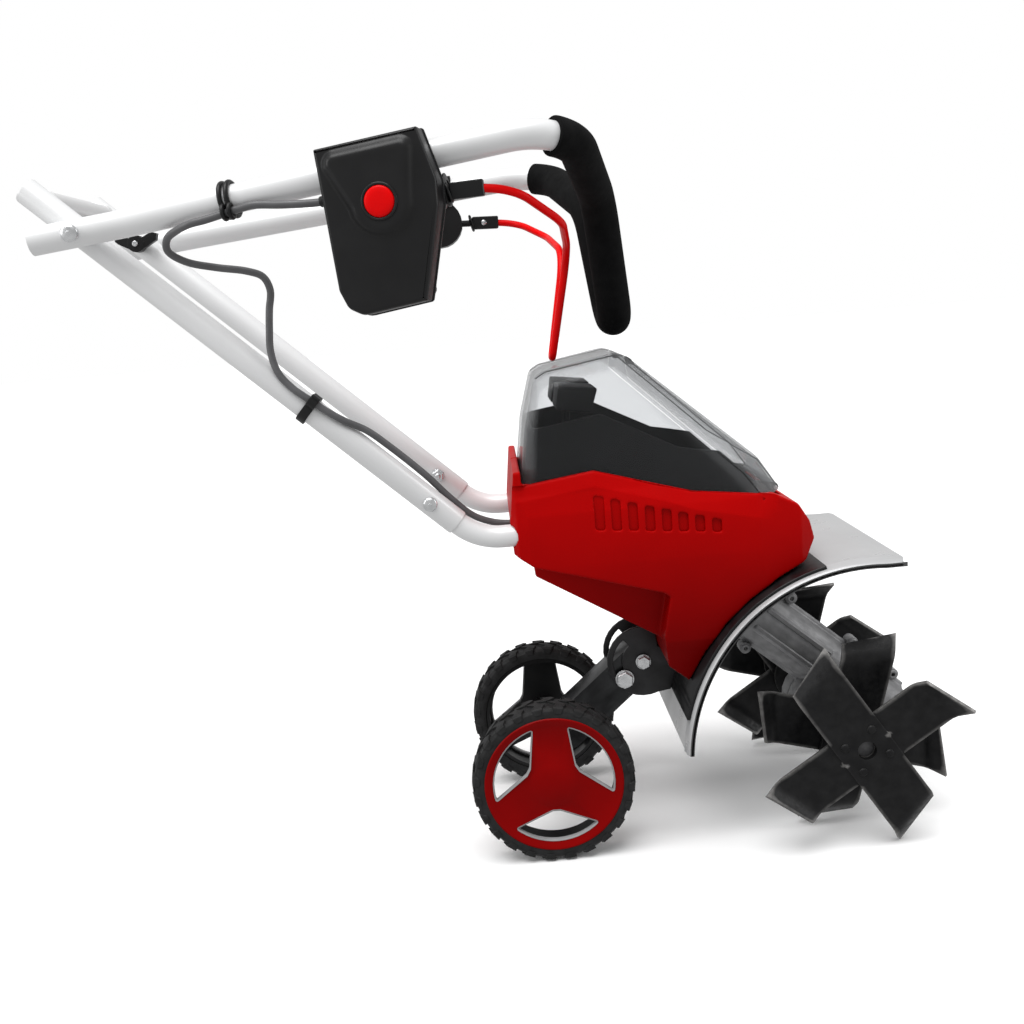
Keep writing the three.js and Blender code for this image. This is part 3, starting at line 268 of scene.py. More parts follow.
def piece(name, bm, finish, body, nodes=(), sharp=38.0):
    return placed(linked(name, bm, finish, sharp), finish, body, nodes)


def modified(obj, kind, **settings):
    mod = obj.modifiers.new(kind.lower(), kind)
    for key, value in settings.items():
        setattr(mod, key, value)
    return obj


def applied(obj, sharp=38.0):
    """The object with its modifiers turned into mesh."""
    graph = bpy.context.evaluated_depsgraph_get()
    mesh = bpy.data.meshes.new_from_object(obj.evaluated_get(graph))
    obj.modifiers.clear()
    obj.data = shaded(mesh, sharp)
    return obj


def boolean(obj, cutters, operation="DIFFERENCE", sharp=38.0, solver="EXACT"):
    """Cuts or keeps with other objects, which are used up."""
    for cutter in cutters:
        modified(obj, "BOOLEAN", operation=operation, solver=solver,
                 use_self=solver == "EXACT", object=cutter)
    applied(obj, sharp)
    for cutter in cutters:
        bpy.data.objects.remove(cutter)
    return obj


def from_cad(name, nodes, finish):
    """A copy of CAD nodes' own mesh, welded, as an object that may be changed."""
    bm = bmesh.new()
    for node in nodes:
        bm.from_mesh(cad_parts[node].data)
    bmesh.ops.remove_doubles(bm, verts=bm.verts, dist=1e-6)
    return linked(name, bm, finish)


def softened(obj, voxel, rounds, keep):
    """Moulded edges: an even remesh, smoothed, then thinned where it is flat."""
    size = voxel * MM * 1.0
    modified(obj, "REMESH", mode="VOXEL", voxel_size=size)
    modified(obj, "SMOOTH", factor=0.5, iterations=rounds)
    return applied(modified(obj, "DECIMATE", ratio=keep), 60.0)


def frame_about(tangent):
    """Two unit vectors square to a tangent."""
    start = Vector((0, 0, 1)) if abs(tangent.z) < 0.9 else Vector((0, 1, 0))
    side = tangent.cross(start).normalized()
    return side, tangent.cross(side).normalized()


def ring(bm, centre, side, up, radius, count):
    points = []
    for k in range(count):
        angle = 2 * math.pi * k / count
        spot = centre + (side * math.cos(angle) + up * math.sin(angle)) * radius
        points.append(bm.verts.new(spot))
    return points


def bridge(bm, a, b):
    """Faces between two rings of points. Either ring may be a single point."""
    for k in range(max(len(a), len(b))):
        n = k + 1
        face = dict.fromkeys((a[k % len(a)], a[n % len(a)], b[n % len(b)], b[k % len(b)]))
        if len(face) > 2:
            bm.faces.new(tuple(face))


def tube(bm, points, radii, sides=28, bore=None):
    """A round sweep along row-frame points. A bore makes it a tube with ring ends."""
    if not hasattr(radii, "__len__"):
        radii = [radii] * len(points)
    tangents = []
    for i in range(len(points)):
        ahead = points[min(i + 1, len(points) - 1)] - points[max(i - 1, 0)]
        tangents.append(ahead.normalized())
    side, up = frame_about(tangents[0])
    outer, inner = [], []
    for i, point in enumerate(points):
        if i:
            turn = tangents[i - 1].rotation_difference(tangents[i])
            side = turn @ side
            side = (side - tangents[i] * side.dot(tangents[i])).normalized()
            up = tangents[i].cross(side)
        outer.append(ring(bm, point, side, up, radii[i] * MM, sides))
        if bore:
            inner.append(ring(bm, point, side, up, bore * MM, sides))
    for rings in (outer, inner):
        for a, b in zip(rings, rings[1:]):
            bridge(bm, a, b)
    if bore:
        bridge(bm, outer[0], inner[0])
        bridge(bm, outer[-1], inner[-1])
    else:
        bm.faces.new(outer[0])
        bm.faces.new(outer[-1])
    return bm


def bent(corners, step=5.0):
    """Row-frame points along straight runs joined by arcs; a corner is x, y, z, bend radius."""
    spots = [at(*c[:3]) for c in corners]
    out = [spots[0]]
    for i in range(1, len(spots) - 1):
        radius = corners[i][3] * MM if len(corners[i]) > 3 else 0.0
        arrive = (spots[i] - spots[i - 1]).normalized()
        leave = (spots[i + 1] - spots[i]).normalized()
        turn = arrive.angle(leave)
        if radius == 0.0 or turn < 1e-4:
            out.append(spots[i])
            continue
        begin = spots[i] - arrive * radius * math.tan(turn / 2)
        axis = arrive.cross(leave).normalized()
        centre = begin + axis.cross(arrive) * radius
        count = max(3, math.ceil(math.degrees(turn) / step))
        for k in range(count + 1):
            out.append(centre + Matrix.Rotation(turn * k / count, 3, axis) @ (begin - centre))
    out.append(spots[-1])
    return out


def between(pair, start, end, t):
    return pair[0] * ((end - t) / (end - start)) + pair[1] * ((t - start) / (end - start))


def catmull(points):
    """A centripetal Catmull-Rom curve through row-frame points."""
    spots = [points[0] * 2 - points[1], *points, points[-1] * 2 - points[-2]]
    steps = 6
    out = []
    for i in range(1, len(spots) - 2):
        p = spots[i - 1:i + 3]
        knots = [0.0]
        for a, b in zip(p, p[1:]):
            knots.append(knots[-1] + max((b - a).length, 1e-6) ** 0.5)
        for k in range(steps):
            t = knots[1] + (knots[2] - knots[1]) * k / steps
            first = [between(p[j:j + 2], knots[j], knots[j + 1], t) for j in range(3)]
            second = [between(first[j:j + 2], knots[j], knots[j + 2], t) for j in range(2)]
            out.append(between(second, knots[1], knots[2], t))
    out.append(spots[-2])
    return out


def lathe(bm, profile, place, sides=48, closed=True):
    """A turned profile of (radius, height) about the local Z of a placement matrix."""
    rings = []
    for radius, height in profile:
        loop = []
        for k in range(sides if radius > 1e-6 else 1):
            angle = 2 * math.pi * k / sides
            spot = Vector((radius * math.cos(angle), radius * math.sin(angle), height)) * MM
            loop.append(bm.verts.new(place @ spot))
        rings.append(loop)
    for a, b in zip(rings, rings[1:] + rings[:1] if closed else rings[1:]):
        bridge(bm, a, b)
    return bm


def facing(centre, axis):
    """A placement with its origin at a row-frame point and its Z along an axis."""
    z = Vector(axis).normalized()
    side, up = frame_about(z)
    return Matrix.Translation(centre) @ Matrix((side, up, z)).transposed().to_4x4()


def loft(bm, loops):
    """A solid skin over loops of row-frame points, with flat ends."""
    rings = [[bm.verts.new(p) for p in loop] for loop in loops]
    for a, b in zip(rings, rings[1:]):
        bridge(bm, a, b)
    for end in (rings[0], rings[-1]):
        for tri in tessellate_polygon([[v.co for v in end]]):
            bm.faces.new([end[i] for i in tri])
    return bm


def rounded(points, radius, step=15.0):
    """A flat outline with its corners rounded; a radius may be given for each corner."""
    count = len(points)
    radii = radius if hasattr(radius, "__len__") else [radius] * count
    out = []
    for i in range(count):
        here = Vector(points[i])
        before, after = Vector(points[i - 1]) - here, Vector(points[(i + 1) % count]) - here
        turn = math.pi - before.angle(after)
        reach = min(radii[i] * math.tan(turn / 2), before.length * 0.48, after.length * 0.48)
        if reach < 0.05 or turn < math.radians(4):
            out.append(here)
            continue
        before, after = before.normalized(), after.normalized()
        bend = reach / math.tan(turn / 2)
        centre = here + (before + after).normalized() * (bend / math.cos(turn / 2))
        start = here + before * reach - centre
        sweep = start.angle_signed(here + after * reach - centre)
        parts = max(2, math.ceil(math.degrees(turn) / step))
        for k in range(parts + 1):
            out.append(centre + Matrix.Rotation(-sweep * k / parts, 2) @ start)
    return out


def inset(loop, amount):
    """A closed outline moved inwards, or outwards when the amount is negative."""
    area = sum(a.x * b.y - b.x * a.y for a, b in zip(loop, loop[1:] + loop[:1]))
    sign = 1.0 if area > 0 else -1.0
    out = []
    for i in range(len(loop)):
        a = (loop[i] - loop[i - 1]).normalized()
        b = (loop[(i + 1) % len(loop)] - loop[i]).normalized()
        normal = Vector((-(a + b).y, (a + b).x)).normalized() * sign
        stretch = max(0.5, normal.dot(Vector((-a.y, a.x)) * sign))
        out.append(loop[i] + normal * (amount / stretch))
    return out


def polar(centre, radius, degrees):
    angle = math.radians(degrees)
    return (centre[0] + radius * math.cos(angle), centre[1] + radius * math.sin(angle))


def arc(centre, radius, start, end, count):
    return [polar(centre, radius, start + (end - start) * k / count) for k in range(count + 1)]


def slab(bm, outline, layers, spot=at):
    """A skin over layers of an x-z outline, each a move inwards and a depth along y."""
    loops = []
    for move, depth in layers:
        loop = inset(outline, move) if move else outline
        loops.append([spot(x, depth, z) for x, z in loop])
    return loft(bm, loops)


def side_prism(name, outline, y0, y1, finish):
    """An x-z outline between two y's, as an object."""
    return linked(name, slab(bmesh.new(), outline, ((0, y0), (0, y1))), finish)


def rod(bm, start, end, radius, sides=32):
    """A round bar between construction-frame points, with its end edges taken off."""
    a, b = at(*start), at(*end)
    length, edge = (b - a).length / MM, 0.6
    profile = [
        (0, 0), (radius - edge, 0), (radius, edge), (radius, length - edge),
        (radius - edge, length), (0, length),
    ]
    return lathe(bm, profile, facing(a, b - a), sides, closed=False)


def torus(bm, centre, axis, radius, thick, sides=40, around=12):
    profile = [polar((radius, 0), thick, 360 * k / around) for k in range(around)]
    return lathe(bm, profile, facing(centre, axis), sides)


# ---------------------------------------------------------------- handles
def handle_corners():
    right = [
        (-410, -SPLAY_START[1], 644.3, 0), (*on_splay(SPLAY_START[0], -1), 120),
        (*on_splay(SPLAY_START[0] + SPLAY_RUN[0], -1), 54),
        (107, -52, 645, 50), (119.5, -21.5, 530, 26),
    ]
    return right + [(x, -y, z, r) for x, y, z, r in reversed(right)]


def handles():
    route = bent(handle_corners(), 4.0)
    piece("handle_upper_tube", tube(bmesh.new(), route, TUBE_R, 32, TUBE_BORE), PAINT,
          "upper_handle_frame", ["upper_handle"])
    first = next(i for i, p in enumerate(route) if p.x > at(GRIP_X, 0, 0).x)
    grip = route[first:len(route) - first]
    ends = (0.93, 0.985, 1.0)
    lead = [grip[0] + (grip[1] - grip[0]).normalized() * d * MM for d in (0.0, 0.8, 2.4)]
    tail = [grip[-1] + (grip[-2] - grip[-1]).normalized() * d * MM for d in (2.4, 0.8, 0.0)]
    points = lead + grip[1:-1] + tail
    radii = [FOAM_R * share for share in (*ends, *[1.0] * (len(grip) - 2), *ends[::-1])]
    piece("handle_grip", tube(bmesh.new(), points, radii, 40, TUBE_R + 0.3), FOAM,
          "upper_handle_frame", ["foam_grip"])

    bm = bmesh.new()
    for side in (-1, 1):
        y = side * LEG_Y
        leg = [at(x, y, on_leg(x)) for x in (-54, -55, -200, -417, -418)]
        tube(bm, leg, [TUBE_R - 0.5, TUBE_R, TUBE_R, TUBE_R, TUBE_R - 0.5], 32, TUBE_BORE)
        weld = at(CROSS_X, side * (LEG_Y - TUBE_R + 1.2), on_leg(CROSS_X))
        torus(bm, weld, (0, 1, 0), CROSS_R, 1.6, 32, 10)
    reach = LEG_Y - TUBE_BORE - 0.4
    tube(bm, [at(CROSS_X, y, on_leg(CROSS_X)) for y in (-reach, reach)], CROSS_R, 28)
    piece("handle_middle_legs", bm, PAINT, "chassis", ["middle_handle"])

    knee = -54 + (350 - 333) / math.tan(LEG_ANGLE)
    for name, side in SIDES:
        y = side * LEG_Y
        route = bent([(58, y, 333), (knee, y, 333, 60), (-112, y, on_leg(-112))], 3.0)
        piece("handle_lower_" + name, tube(bmesh.new(), route, LOWER_TUBE_R, 32, LOWER_BORE),
              PAINT, "chassis", ["lower_tube_" + name])


def screw_head(bm, centre, axis, radius, height, recess=True):
    """A domed head with a round recess, standing on a point and facing along an axis."""
    profile = [(0, 0), (radius, 0), (radius, height * 0.25)]
    for k in range(1, 7):
        angle = k * math.pi / 12
        profile.append((radius * math.cos(angle), height * (0.25 + 0.75 * math.sin(angle))))
    if recess:
        profile += [(radius * 0.2, height), (radius * 0.16, height * 0.55), (0, height * 0.5)]
    else:
        profile.append((0, height))
    return lathe(bm, profile, facing(centre, axis), 32, closed=False)


HEX_TURN = math.degrees(0.4)  # how far every hexagon head is turned


def hex_head(bm, centre, axis, across, height):
    """A chamfered hexagon head on a thin washer."""
    place = facing(centre, axis)
    brim = across * 0.62
    lathe(bm, [(0, 0), (brim, 0), (brim, 1.0), (0, 1.0)], place, 32, closed=False)
    loops = []
    corner = across / 2 / math.cos(math.pi / 6)
    for scale, level in ((1, 0.9), (1, height - 0.9), (0.88, height)):
        loop = arc((0, 0), corner * scale, HEX_TURN, HEX_TURN + 300, 5)
        loops.append([place @ (Vector((x, y, level)) * MM) for x, y in loop])
    return loft(bm, loops)


def crosswise(spot, side, near, far, radius):
    """A new mesh with a rod along Y, between two distances from the middle plane."""
    x, z = spot
    return rod(bmesh.new(), (x, side * near, z), (x, side * far, z), radius, 16)


def fasteners():
    tube_bolt = (-78, on_leg(-78))
    for name, side in SIDES:
        outer = SPLAY_START[1] + TUBE_R + 0.3
        bm = crosswise(FOLD_PIVOT, side, LEG_Y - 29, outer + 0.5, 3.0)
        screw_head(bm, at(FOLD_PIVOT[0], side * outer, FOLD_PIVOT[1]), (0, side, 0), 8, 4.2)
        piece("fold_screw_" + name, bm, STEEL, "upper_handle_frame", ["fold_bolt_" + name])
        x, z = tube_bolt
        inner = LEG_Y - TUBE_R
        bm = crosswise(tube_bolt, side, inner - 10, inner + 26, 3.0)
        screw_head(bm, at(x, side * (LEG_Y + TUBE_R + 0.3), z), (0, side, 0), 7, 4)
        hex_head(bm, at(x, side * (inner - 0.4), z), (0, -side, 0), 12, 7)
        piece("tube_screw_" + name, bm, STEEL, "chassis", ["tube_bolt_" + name])
    lock = (ARM_PIVOT[0] - LOCK_REACH * math.cos(ARM_SLOPE),
            ARM_PIVOT[1] - LOCK_REACH * math.sin(ARM_SLOPE))
    face = 23.8  # the bracket's outer face
    for label, spot, across, body, node in (
        ("arm_pivot_screw", ARM_PIVOT, 13, "chassis", "arm_pivot_bolt"),
        ("arm_lock_screw", lock, 16, "arm", "arm_lock_bolt"),
    ):
        bm = crosswise(spot, -1, face, -face, 4.0)
        for side in (-1, 1):
            hex_head(bm, at(spot[0], side * face, spot[1]), (0, side, 0), across, 6)
        piece(label, bm, STEEL, body, [node])


# ---------------------------------------------------------------- cable and clips
def box_frame():
    """The switch box's own placement: x along the right tube, y inwards, z up."""
    x = SPLAY_HEADING
    y = Vector((-x.y, x.x, 0)).normalized()
    z = x.cross(y)
    turn = Matrix((x, y, z)).transposed().to_4x4()
    return Matrix.Translation(at(*on_splay(BOX_X, -1)) + Vector((0, 0, 2 * MM))) @ turn


BOX = box_frame()


def in_box(x, y, z):
    return BOX @ (Vector((x, y, z)) * MM)


GLAND = (-10.5, -22.0)
UPPER_ROUTE = [
    in_box(-50, *GLAND), in_box(-64, *GLAND), at(-176, -160, 654.5), at(-202, -156, 656.5),
    at(-216, -152.5, 654.5), at(-229, -149.5, 652),
]
LOOP_ROUTE = [at(*p) for p in (
    (-229, -149.5, 652), (-247, -149, 648), (-260, -147, 646), (-273, -140, 642.5),
    (-286, -130, 636), (-289, -121, 626), (-276, -114, 616), (-251, -108, 609),
    (-224, -103, 603.5), (-211, -100, 597.5), (-206, -99, 585), (-209, -99, 567),
    (-211, -100, 549), (-212, -101.5, 529), (-207, -105, 509.5), (-195, -107, 494),
    (-184, -107.2, 484.6),
)]
LOWER_ROUTE = [at(*p) for p in (
    (-184, -107.2, 484.6), (-176, -107, 478.3), (-167, -106, 470.6), (-150, -102.5, 458.5),
    (-132, -95, 447.5), (-111.5, -87, 428.5), (-81, -80, 397.5), (-60, -76, 373),
    (-39, -72.5, 352.5), (-19, -70, 343.5), (-1, -70, 341), (14, -70, 341),
)]


def cables():
    for name, route, node in (
        ("lead_upper", UPPER_ROUTE, "cable_upper"), ("lead_loop", LOOP_ROUTE, "cable_loop"),
        ("lead_lower", LOWER_ROUTE, "cable_lower"),
    ):
        obj = linked(name, tube(bmesh.new(), catmull(route), CABLE_R, 20), CABLE, 60)
        if node == "cable_loop":
            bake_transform(obj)
            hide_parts(node)
        else:
            placed(obj, CABLE, "chassis" if node == "cable_lower" else "upper_handle_frame",
                   [node])

    heading = SPLAY_HEADING
    bm = bmesh.new()
    for offset in (-3.2, 3.2):
        middle = at(*on_splay(-225, -1)) + heading * offset * MM
        torus(bm, middle, heading, TUBE_R + 2.2, 2.3)
        torus(bm, at(-225, -150.4, 653.3) + heading * offset * MM, heading, CABLE_R + 2.4, 2.0, 28)
    piece("lead_clip_upper", bm, BLACK, "upper_handle_frame", ["cable_clip_upper"])

    heading = Vector((-math.cos(LEG_ANGLE), 0, math.sin(LEG_ANGLE)))
    bm = bmesh.new()
    for centre, radius in (
        (at(-184, -LEG_Y, on_leg(-184)), TUBE_R + 0.35), (at(-177.4, -106.9, 479.4), CABLE_R + 0.5),
    ):
        profile = [(radius, -4.5), (radius + 2.2, -4.5), (radius + 2.7, -4.0),
                   (radius + 2.7, 4.0), (radius + 2.2, 4.5), (radius, 4.5)]
        lathe(bm, profile, facing(centre, heading), 40)
    piece("lead_clip_lower", bm, BLACK, "chassis", ["cable_clip_lower"])

    bm = bmesh.new()
    profile = [(CABLE_R + 0.1, 0), (5.6, 0), (5.8, 2), (4.7, 3), (4.7, 9), (4.2, 10),
               (CABLE_R + 0.1, 10)]
    axis = in_box(-1, 0, 0) - in_box(0, 0, 0)
    lathe(bm, profile, facing(in_box(-53, *GLAND), axis), 28)
    piece("lead_gland", bm, BLACK, "upper_handle_frame")


# ---------------------------------------------------------------- switch box
BOX_OUTLINE = [(-52, 17), (38, 17), (46.5, -27), (44, -48), (18.5, -122), (-38, -124), (-50, -116),
               (-55, -100)]
BOX_CORNERS = [1.6, 1.6, 7, 9, 2, 12, 10, 6]
BUTTON_AT = (-2.5, -36.0)


def switch_box():
    outline = rounded(BOX_OUTLINE, BOX_CORNERS, 12)
    front = [(0, -15), (0, -34.6), (0.4, -36.6), (1.2, -38.1), (2.3, -38.8), (3.6, -39)]
    bm = slab(bmesh.new(), outline, front, in_box)
    shield = [(-46, 8.5), (31, 8.5), (22.5, -36)]
    shield += arc(BUTTON_AT, 25, -15, -165, 10) + [(-27.5, -36)]
    tongue = rounded(shield, [7.5, 7.5, 20] + [0] * 11 + [20], 10)
    steps = [(-5.5, -38.6), (-4.4, -39.2), (-2.9, -40.4), (-1.2, -42.2), (0.4, -43.9),
             (2.0, -45.0), (3.8, -45.5), (6.0, -45.6)]
    slab(bm, tongue, steps, in_box)
    piece("box_front", bm, BLACK, "upper_handle_frame", ["switch_box_front"], 50)

    back = [(0, -14.7), (2.5, -4), (6, 8), (8.5, 15.6), (10, 18), (12, 19)]
    bm = slab(bmesh.new(), outline, back, in_box)
    lip = [(0, -15.6), (-1.1, -15.2), (-1.1, -13.6), (0, -13.2)]
    slab(bm, outline, lip, in_box)
    piece("box_back", bm, BLACK, "upper_handle_frame", ["switch_box_back"], 50)

    inward = in_box(0, 1, 0) - in_box(0, 0, 0)
    middle = in_box(BUTTON_AT[0], -45.6, BUTTON_AT[1])
    bm = torus(bmesh.new(), middle, inward, 14.4, 1.5, 48, 12)
    piece("button_ring", bm, BLACK, "upper_handle_frame")
    bm = bmesh.new()
    cap = [(0, 0), (13, 0), (13, 12.6), (12.4, 13.8), (11, 14.5), (7, 14.9), (0, 15)]
    lathe(bm, cap, facing(in_box(BUTTON_AT[0], -33.5, BUTTON_AT[1]), -inward), 56, closed=False)
    piece("button_cap", bm, BRIGHT, "button", ["lockout_button"])

    bm = bmesh.new()
    bmesh.ops.create_uvsphere(bm, u_segments=28, v_segments=18, radius=MM)
    shape = BOX @ Matrix.Translation(Vector((-48, -12, -86)) * MM)
    shape = shape @ Matrix.Rotation(math.radians(4), 4, "Y") @ Matrix.Diagonal((5, 6.5, 13, 1))
    bmesh.ops.transform(bm, matrix=shape, verts=bm.verts)
    piece("box_side_bump", bm, BLACK, "upper_handle_frame")

    along = in_box(1, 0, 0) - in_box(0, 0, 0)
    bm = bmesh.new()
    collar = [(8, 0), (14.5, 0), (15, 1), (15, 4), (12.2, 5.2), (12.2, 6.6), (14.2, 7.8),
              (14.2, 9), (9.5, 10.2), (8, 10.2)]
    lathe(bm, collar, facing(in_box(37.5, 0, -33.5), along), 40)
    piece("lever_collar", bm, BLACK, "upper_handle_frame")


# ---------------------------------------------------------------- bail
LEVERS = {
    "right": (-1, (-30, -176, 652), (-1.5, -178, 653)),
    "left": (1, (-15, 176, 647), (14, 178, 646)),
}


def bail():
    right, left = LEVERS["right"][2], LEVERS["left"][2]
    corners = [
        (right[0] - 6, *right[1:]), (24, -178, 649.5, 45), (66, -128, 622, 52),
        (76, -33, 601, 48), (54.5, -9, 496, 8.4), (54.5, 9, 496, 8.4), (76, 33, 601, 48),
        (66, 128, 622, 52), (36, 178, 643, 36), (left[0] - 6, *left[1:]),
    ]
    piece("bail_bar", tube(bmesh.new(), bent(corners, 4.0), BAIL_R, 20), BRIGHT, "bail",
          ["bail_wire"], 60)
    for name, (side, tip, end) in LEVERS.items():
        root = on_splay(BAIL_PIVOT[0], side)[1]
        pivot = (BAIL_PIVOT[0], root, BAIL_PIVOT[1])
        a, b = at(*tip), at(*end)
        bm = tube(bmesh.new(), [at(*pivot), a + (b - a) * 0.1], 3.6, 20)
        rod(bm, (pivot[0], root - 4, pivot[2]), (pivot[0], root + 4, pivot[2]), 6, 24)
        run = (b - a).normalized()
        out = Vector((-run.y, run.x, 0)).normalized()
        up = run.cross(out)
        section = rounded([(-4.6, -7), (4.6, -7), (4.6, 7), (-4.6, 7)], 1.2, 22)
        ends = ((a - run * MM, 1.2), (a - run * 0.2 * MM, 0.2), (a + run * MM, 0.0),
                (b - run * MM, 0.0), (b, 1.0))
        loft(bm, [[spot + (out * p.x + up * p.y) * MM for p in inset(section, move)]
                  for spot, move in ends])
        piece("bail_clevis_" + name, bm, BLACK, "bail", ["bail_lever_" + name])
        bm = torus(bmesh.new(), a - run * 1.6 * MM, run + Vector((0, 0, 0.25)), 8.5, 1.3, 32, 10)
        piece("bail_ring_" + name, bm, BLACK, "bail")
        bm = bmesh.new()
        spot = a + (b - a) * 0.42  # near the lever's middle
        for face in (1,) if side < 0 else (-1, 1):  # the right clevis shows no screw outside
            screw_head(bm, spot + out * face * 4.5 * MM, out * face, 3.1, 1.5)
        piece("bail_screw_" + name, bm, STEEL, "bail")


# ---------------------------------------------------------------- wheels
LUG_COUNT = 24


def wheel_place(side, axis_y):
    middle = at(WHEEL_CENTRE[0], side * WHEEL_Y, WHEEL_CENTRE[1])
    return facing(middle, (0, axis_y, 0))


def tyre(name, side):
    """A carcass with chunky chevron lugs that wrap over its shoulders."""
    place = wheel_place(side, 1)
    half = WHEEL_HALF
    bead = RIM_R + 0.3
    flank = [(bead, -half + 2.5), (bead + 1.5, -half + 1.4), (72.5, -half + 0.9),
             (76.5, -half + 1.8), (79.2, -half + 5)]
    profile = flank + [(79.6, 0)] + [(radius, -level) for radius, level in reversed(flank)]
    bm = lathe(bmesh.new(), profile, place, 96)
    pitch = 2 * math.pi / LUG_COUNT
    chevron = [(0.00, 0.6), (0.46, 0.6), (0.86, 8.5), (0.70, 14.5), (0.22, 14.5), (0.38, 8.5)]
    cheek = [(0.20, 13.8, 76.0), (0.72, 13.8, 76.0), (0.72, 13.8, 81.2), (0.20, 13.8, 81.2)]
    outer = [(0.30, half - 0.4, 74.0), (0.62, half - 0.4, 74.0), (0.70, half - 0.9, 79.6),
             (0.22, half - 0.9, 79.6)]
    top = [(share, across, WHEEL_R if across < 12 else WHEEL_R - 1.2) for share, across in chevron]
    foot = [(share, across, 78.0) for share, across in chevron]
    def lug_point(hand, turn, share, across, radius):
        angle = turn + share * pitch
        local = (radius * math.cos(angle), radius * math.sin(angle), hand * across)
        return place @ (Vector(local) * MM)

    for hand in (-1, 1):
        for k in range(LUG_COUNT):
            turn = pitch * (k + (0.5 if hand > 0 else 0.0))  # the two rows stand staggered
            for pair in ((foot, top), (cheek, outer)):
                loft(bm, [[lug_point(hand, turn, *spot) for spot in loop] for loop in pair])
    piece("tread_" + name, bm, RUBBER, "wheel_" + name, ["tyre_" + name], 30)


WINDOW_ANGLES = (30, 150, 270)


def window_outline(angle):
    """One opening of a wheel: an arc outside and two straight sides that meet near the hub."""
    outer = arc((0, 0), RIM_R - 6, angle - 44, angle + 44, 14)
    inner = arc((0, 0), 28, angle + 8, angle - 8, 1)
    return rounded(outer + inner, [4] + [0] * 13 + [4, 3, 3], 20)


def window_loop(side, angle, move, y):
    """An opening's outline, moved inwards, so far out from the wheel's middle."""
    x, z = WHEEL_CENTRE
    outline = inset(window_outline(angle), move)
    return [at(x + p.x, side * WHEEL_Y + y, z + p.y) for p in outline]


def with_windows(obj, side):
    cutters = []
    for angle in WINDOW_ANGLES:
        loops = [window_loop(side, angle, 0, y) for y in (-40, 40)]
        cutters.append(linked("cut", loft(bmesh.new(), loops), RIM_RED))
    return boolean(obj, cutters)


def wheel(name, side):
    """A black wheel body, the red cover on its outer face, and pale walls in its openings."""
    place = wheel_place(side, side)
    half, body = WHEEL_HALF, "wheel_" + name
    bm = lathe(bmesh.new(), [
        (RIM_R - 4, -half + 3), (RIM_R - 0.5, -half + 3), (RIM_R, -half + 3.6), (RIM_R, half - 6),
        (RIM_R - 3, half - 6), (RIM_R - 3, half - 9), (15, half - 9.4), (15, half - 12.4),
        (RIM_R - 4, half - 12.4),
    ], place, 96)
    lathe(bm, [(6.3, -half - 4), (14, -half - 4), (15, -half - 3), (15, half - 9), (6.3, half - 9)],
          place, 40)
    core = with_windows(linked("core", bm, BLACK), side)
    placed(core, BLACK, body, ["rim_" + name], "wheel_core_" + name)

    bm = lathe(bmesh.new(), [
        (0, half - 8.8), (RIM_R - 3.2, half - 8.8), (RIM_R - 3.2, half - 5.8),
        (RIM_R - 0.2, half - 5.8), (RIM_R + 2.4, half - 4.0), (RIM_R + 2.8, half - 1.6),
        (RIM_R + 1.4, half - 0.4), (RIM_R - 1.5, half - 0.8), (RIM_R - 5.0, half - 3.4),
        (24, half - 4.4), (21, half - 2.6), (0, half - 2.2),
    ], place, 96, closed=False)
    cover = with_windows(linked("cover", bm, RIM_RED), side)
    placed(cover, RIM_RED, body, name="wheel_cover_" + name)

    bm = bmesh.new()
    wall = ((-0.1, half - 9), (-0.1, half - 3.2), (1.3, half - 3.8), (1.3, half - 9))
    for angle in WINDOW_ANGLES:
        rings = [[bm.verts.new(p) for p in window_loop(side, angle, move, side * y)]
                 for move, y in wall]
        for a, b in zip(rings, rings[1:] + rings[:1]):
            bridge(bm, a, b)
    piece("window_liners_" + name, bm, LINER, body)


# ---------------------------------------------------------------- tines
BLADE_HALF, BLADE_THICK, BLADE_REACH = 26.0, 3.5, 98.0
TIP_FROM, TIP_SLANT = 84.0, 10.5  # where a tip starts, and how far one corner leads the other
BLADE_FOLD, FOLD_RADIUS = 71.0, 14.0
FOLD_ANGLE, FOLD_SKEW = math.radians(44), math.radians(17)


def blade_spot(u, v, w, outward):
    """A blade point: u along it, v across it, w through it, carried round the slanted folds."""
    sign = 1.0 if u > 0 else -1.0
    lean = FOLD_SKEW * sign
    past = abs(u) * math.cos(lean) + v * math.sin(lean) - BLADE_FOLD
    if past <= 0:
        return u, v, w * outward
    angle = min(past / FOLD_RADIUS, FOLD_ANGLE)
    rest = past - FOLD_RADIUS * angle  # how far beyond the fold
    forward = (FOLD_RADIUS - w) * math.sin(angle) + rest * math.cos(angle)
    rise = FOLD_RADIUS - (FOLD_RADIUS - w) * math.cos(angle) + rest * math.sin(angle)
    back = forward - past
    return u + sign * back * math.cos(lean), v + back * math.sin(lean), rise * outward


def blade(bm, place, outward, level):
    """One bent strip through the axle, with slanted tips."""
    count, across = 56, 10
    half = BLADE_THICK / 2
    rings = []
    for i in range(count + 1):
        share = -1 + 2 * i / count
        u = share * BLADE_REACH
        near_tip = max(0.0, (abs(u) - TIP_FROM) / (BLADE_REACH - TIP_FROM))
        loop = []
        for w in (-half, half):
            span = range(across + 1) if w < 0 else range(across, -1, -1)
            for j in span:
                v = -1 + 2 * j / across
                reach = u - near_tip * TIP_SLANT * v
                x, z, y = blade_spot(reach, v * BLADE_HALF, w, outward)
                loop.append(place @ (Vector((x, level + y, z)) * MM))
        rings.append(loop)
    return loft(bm, rings)


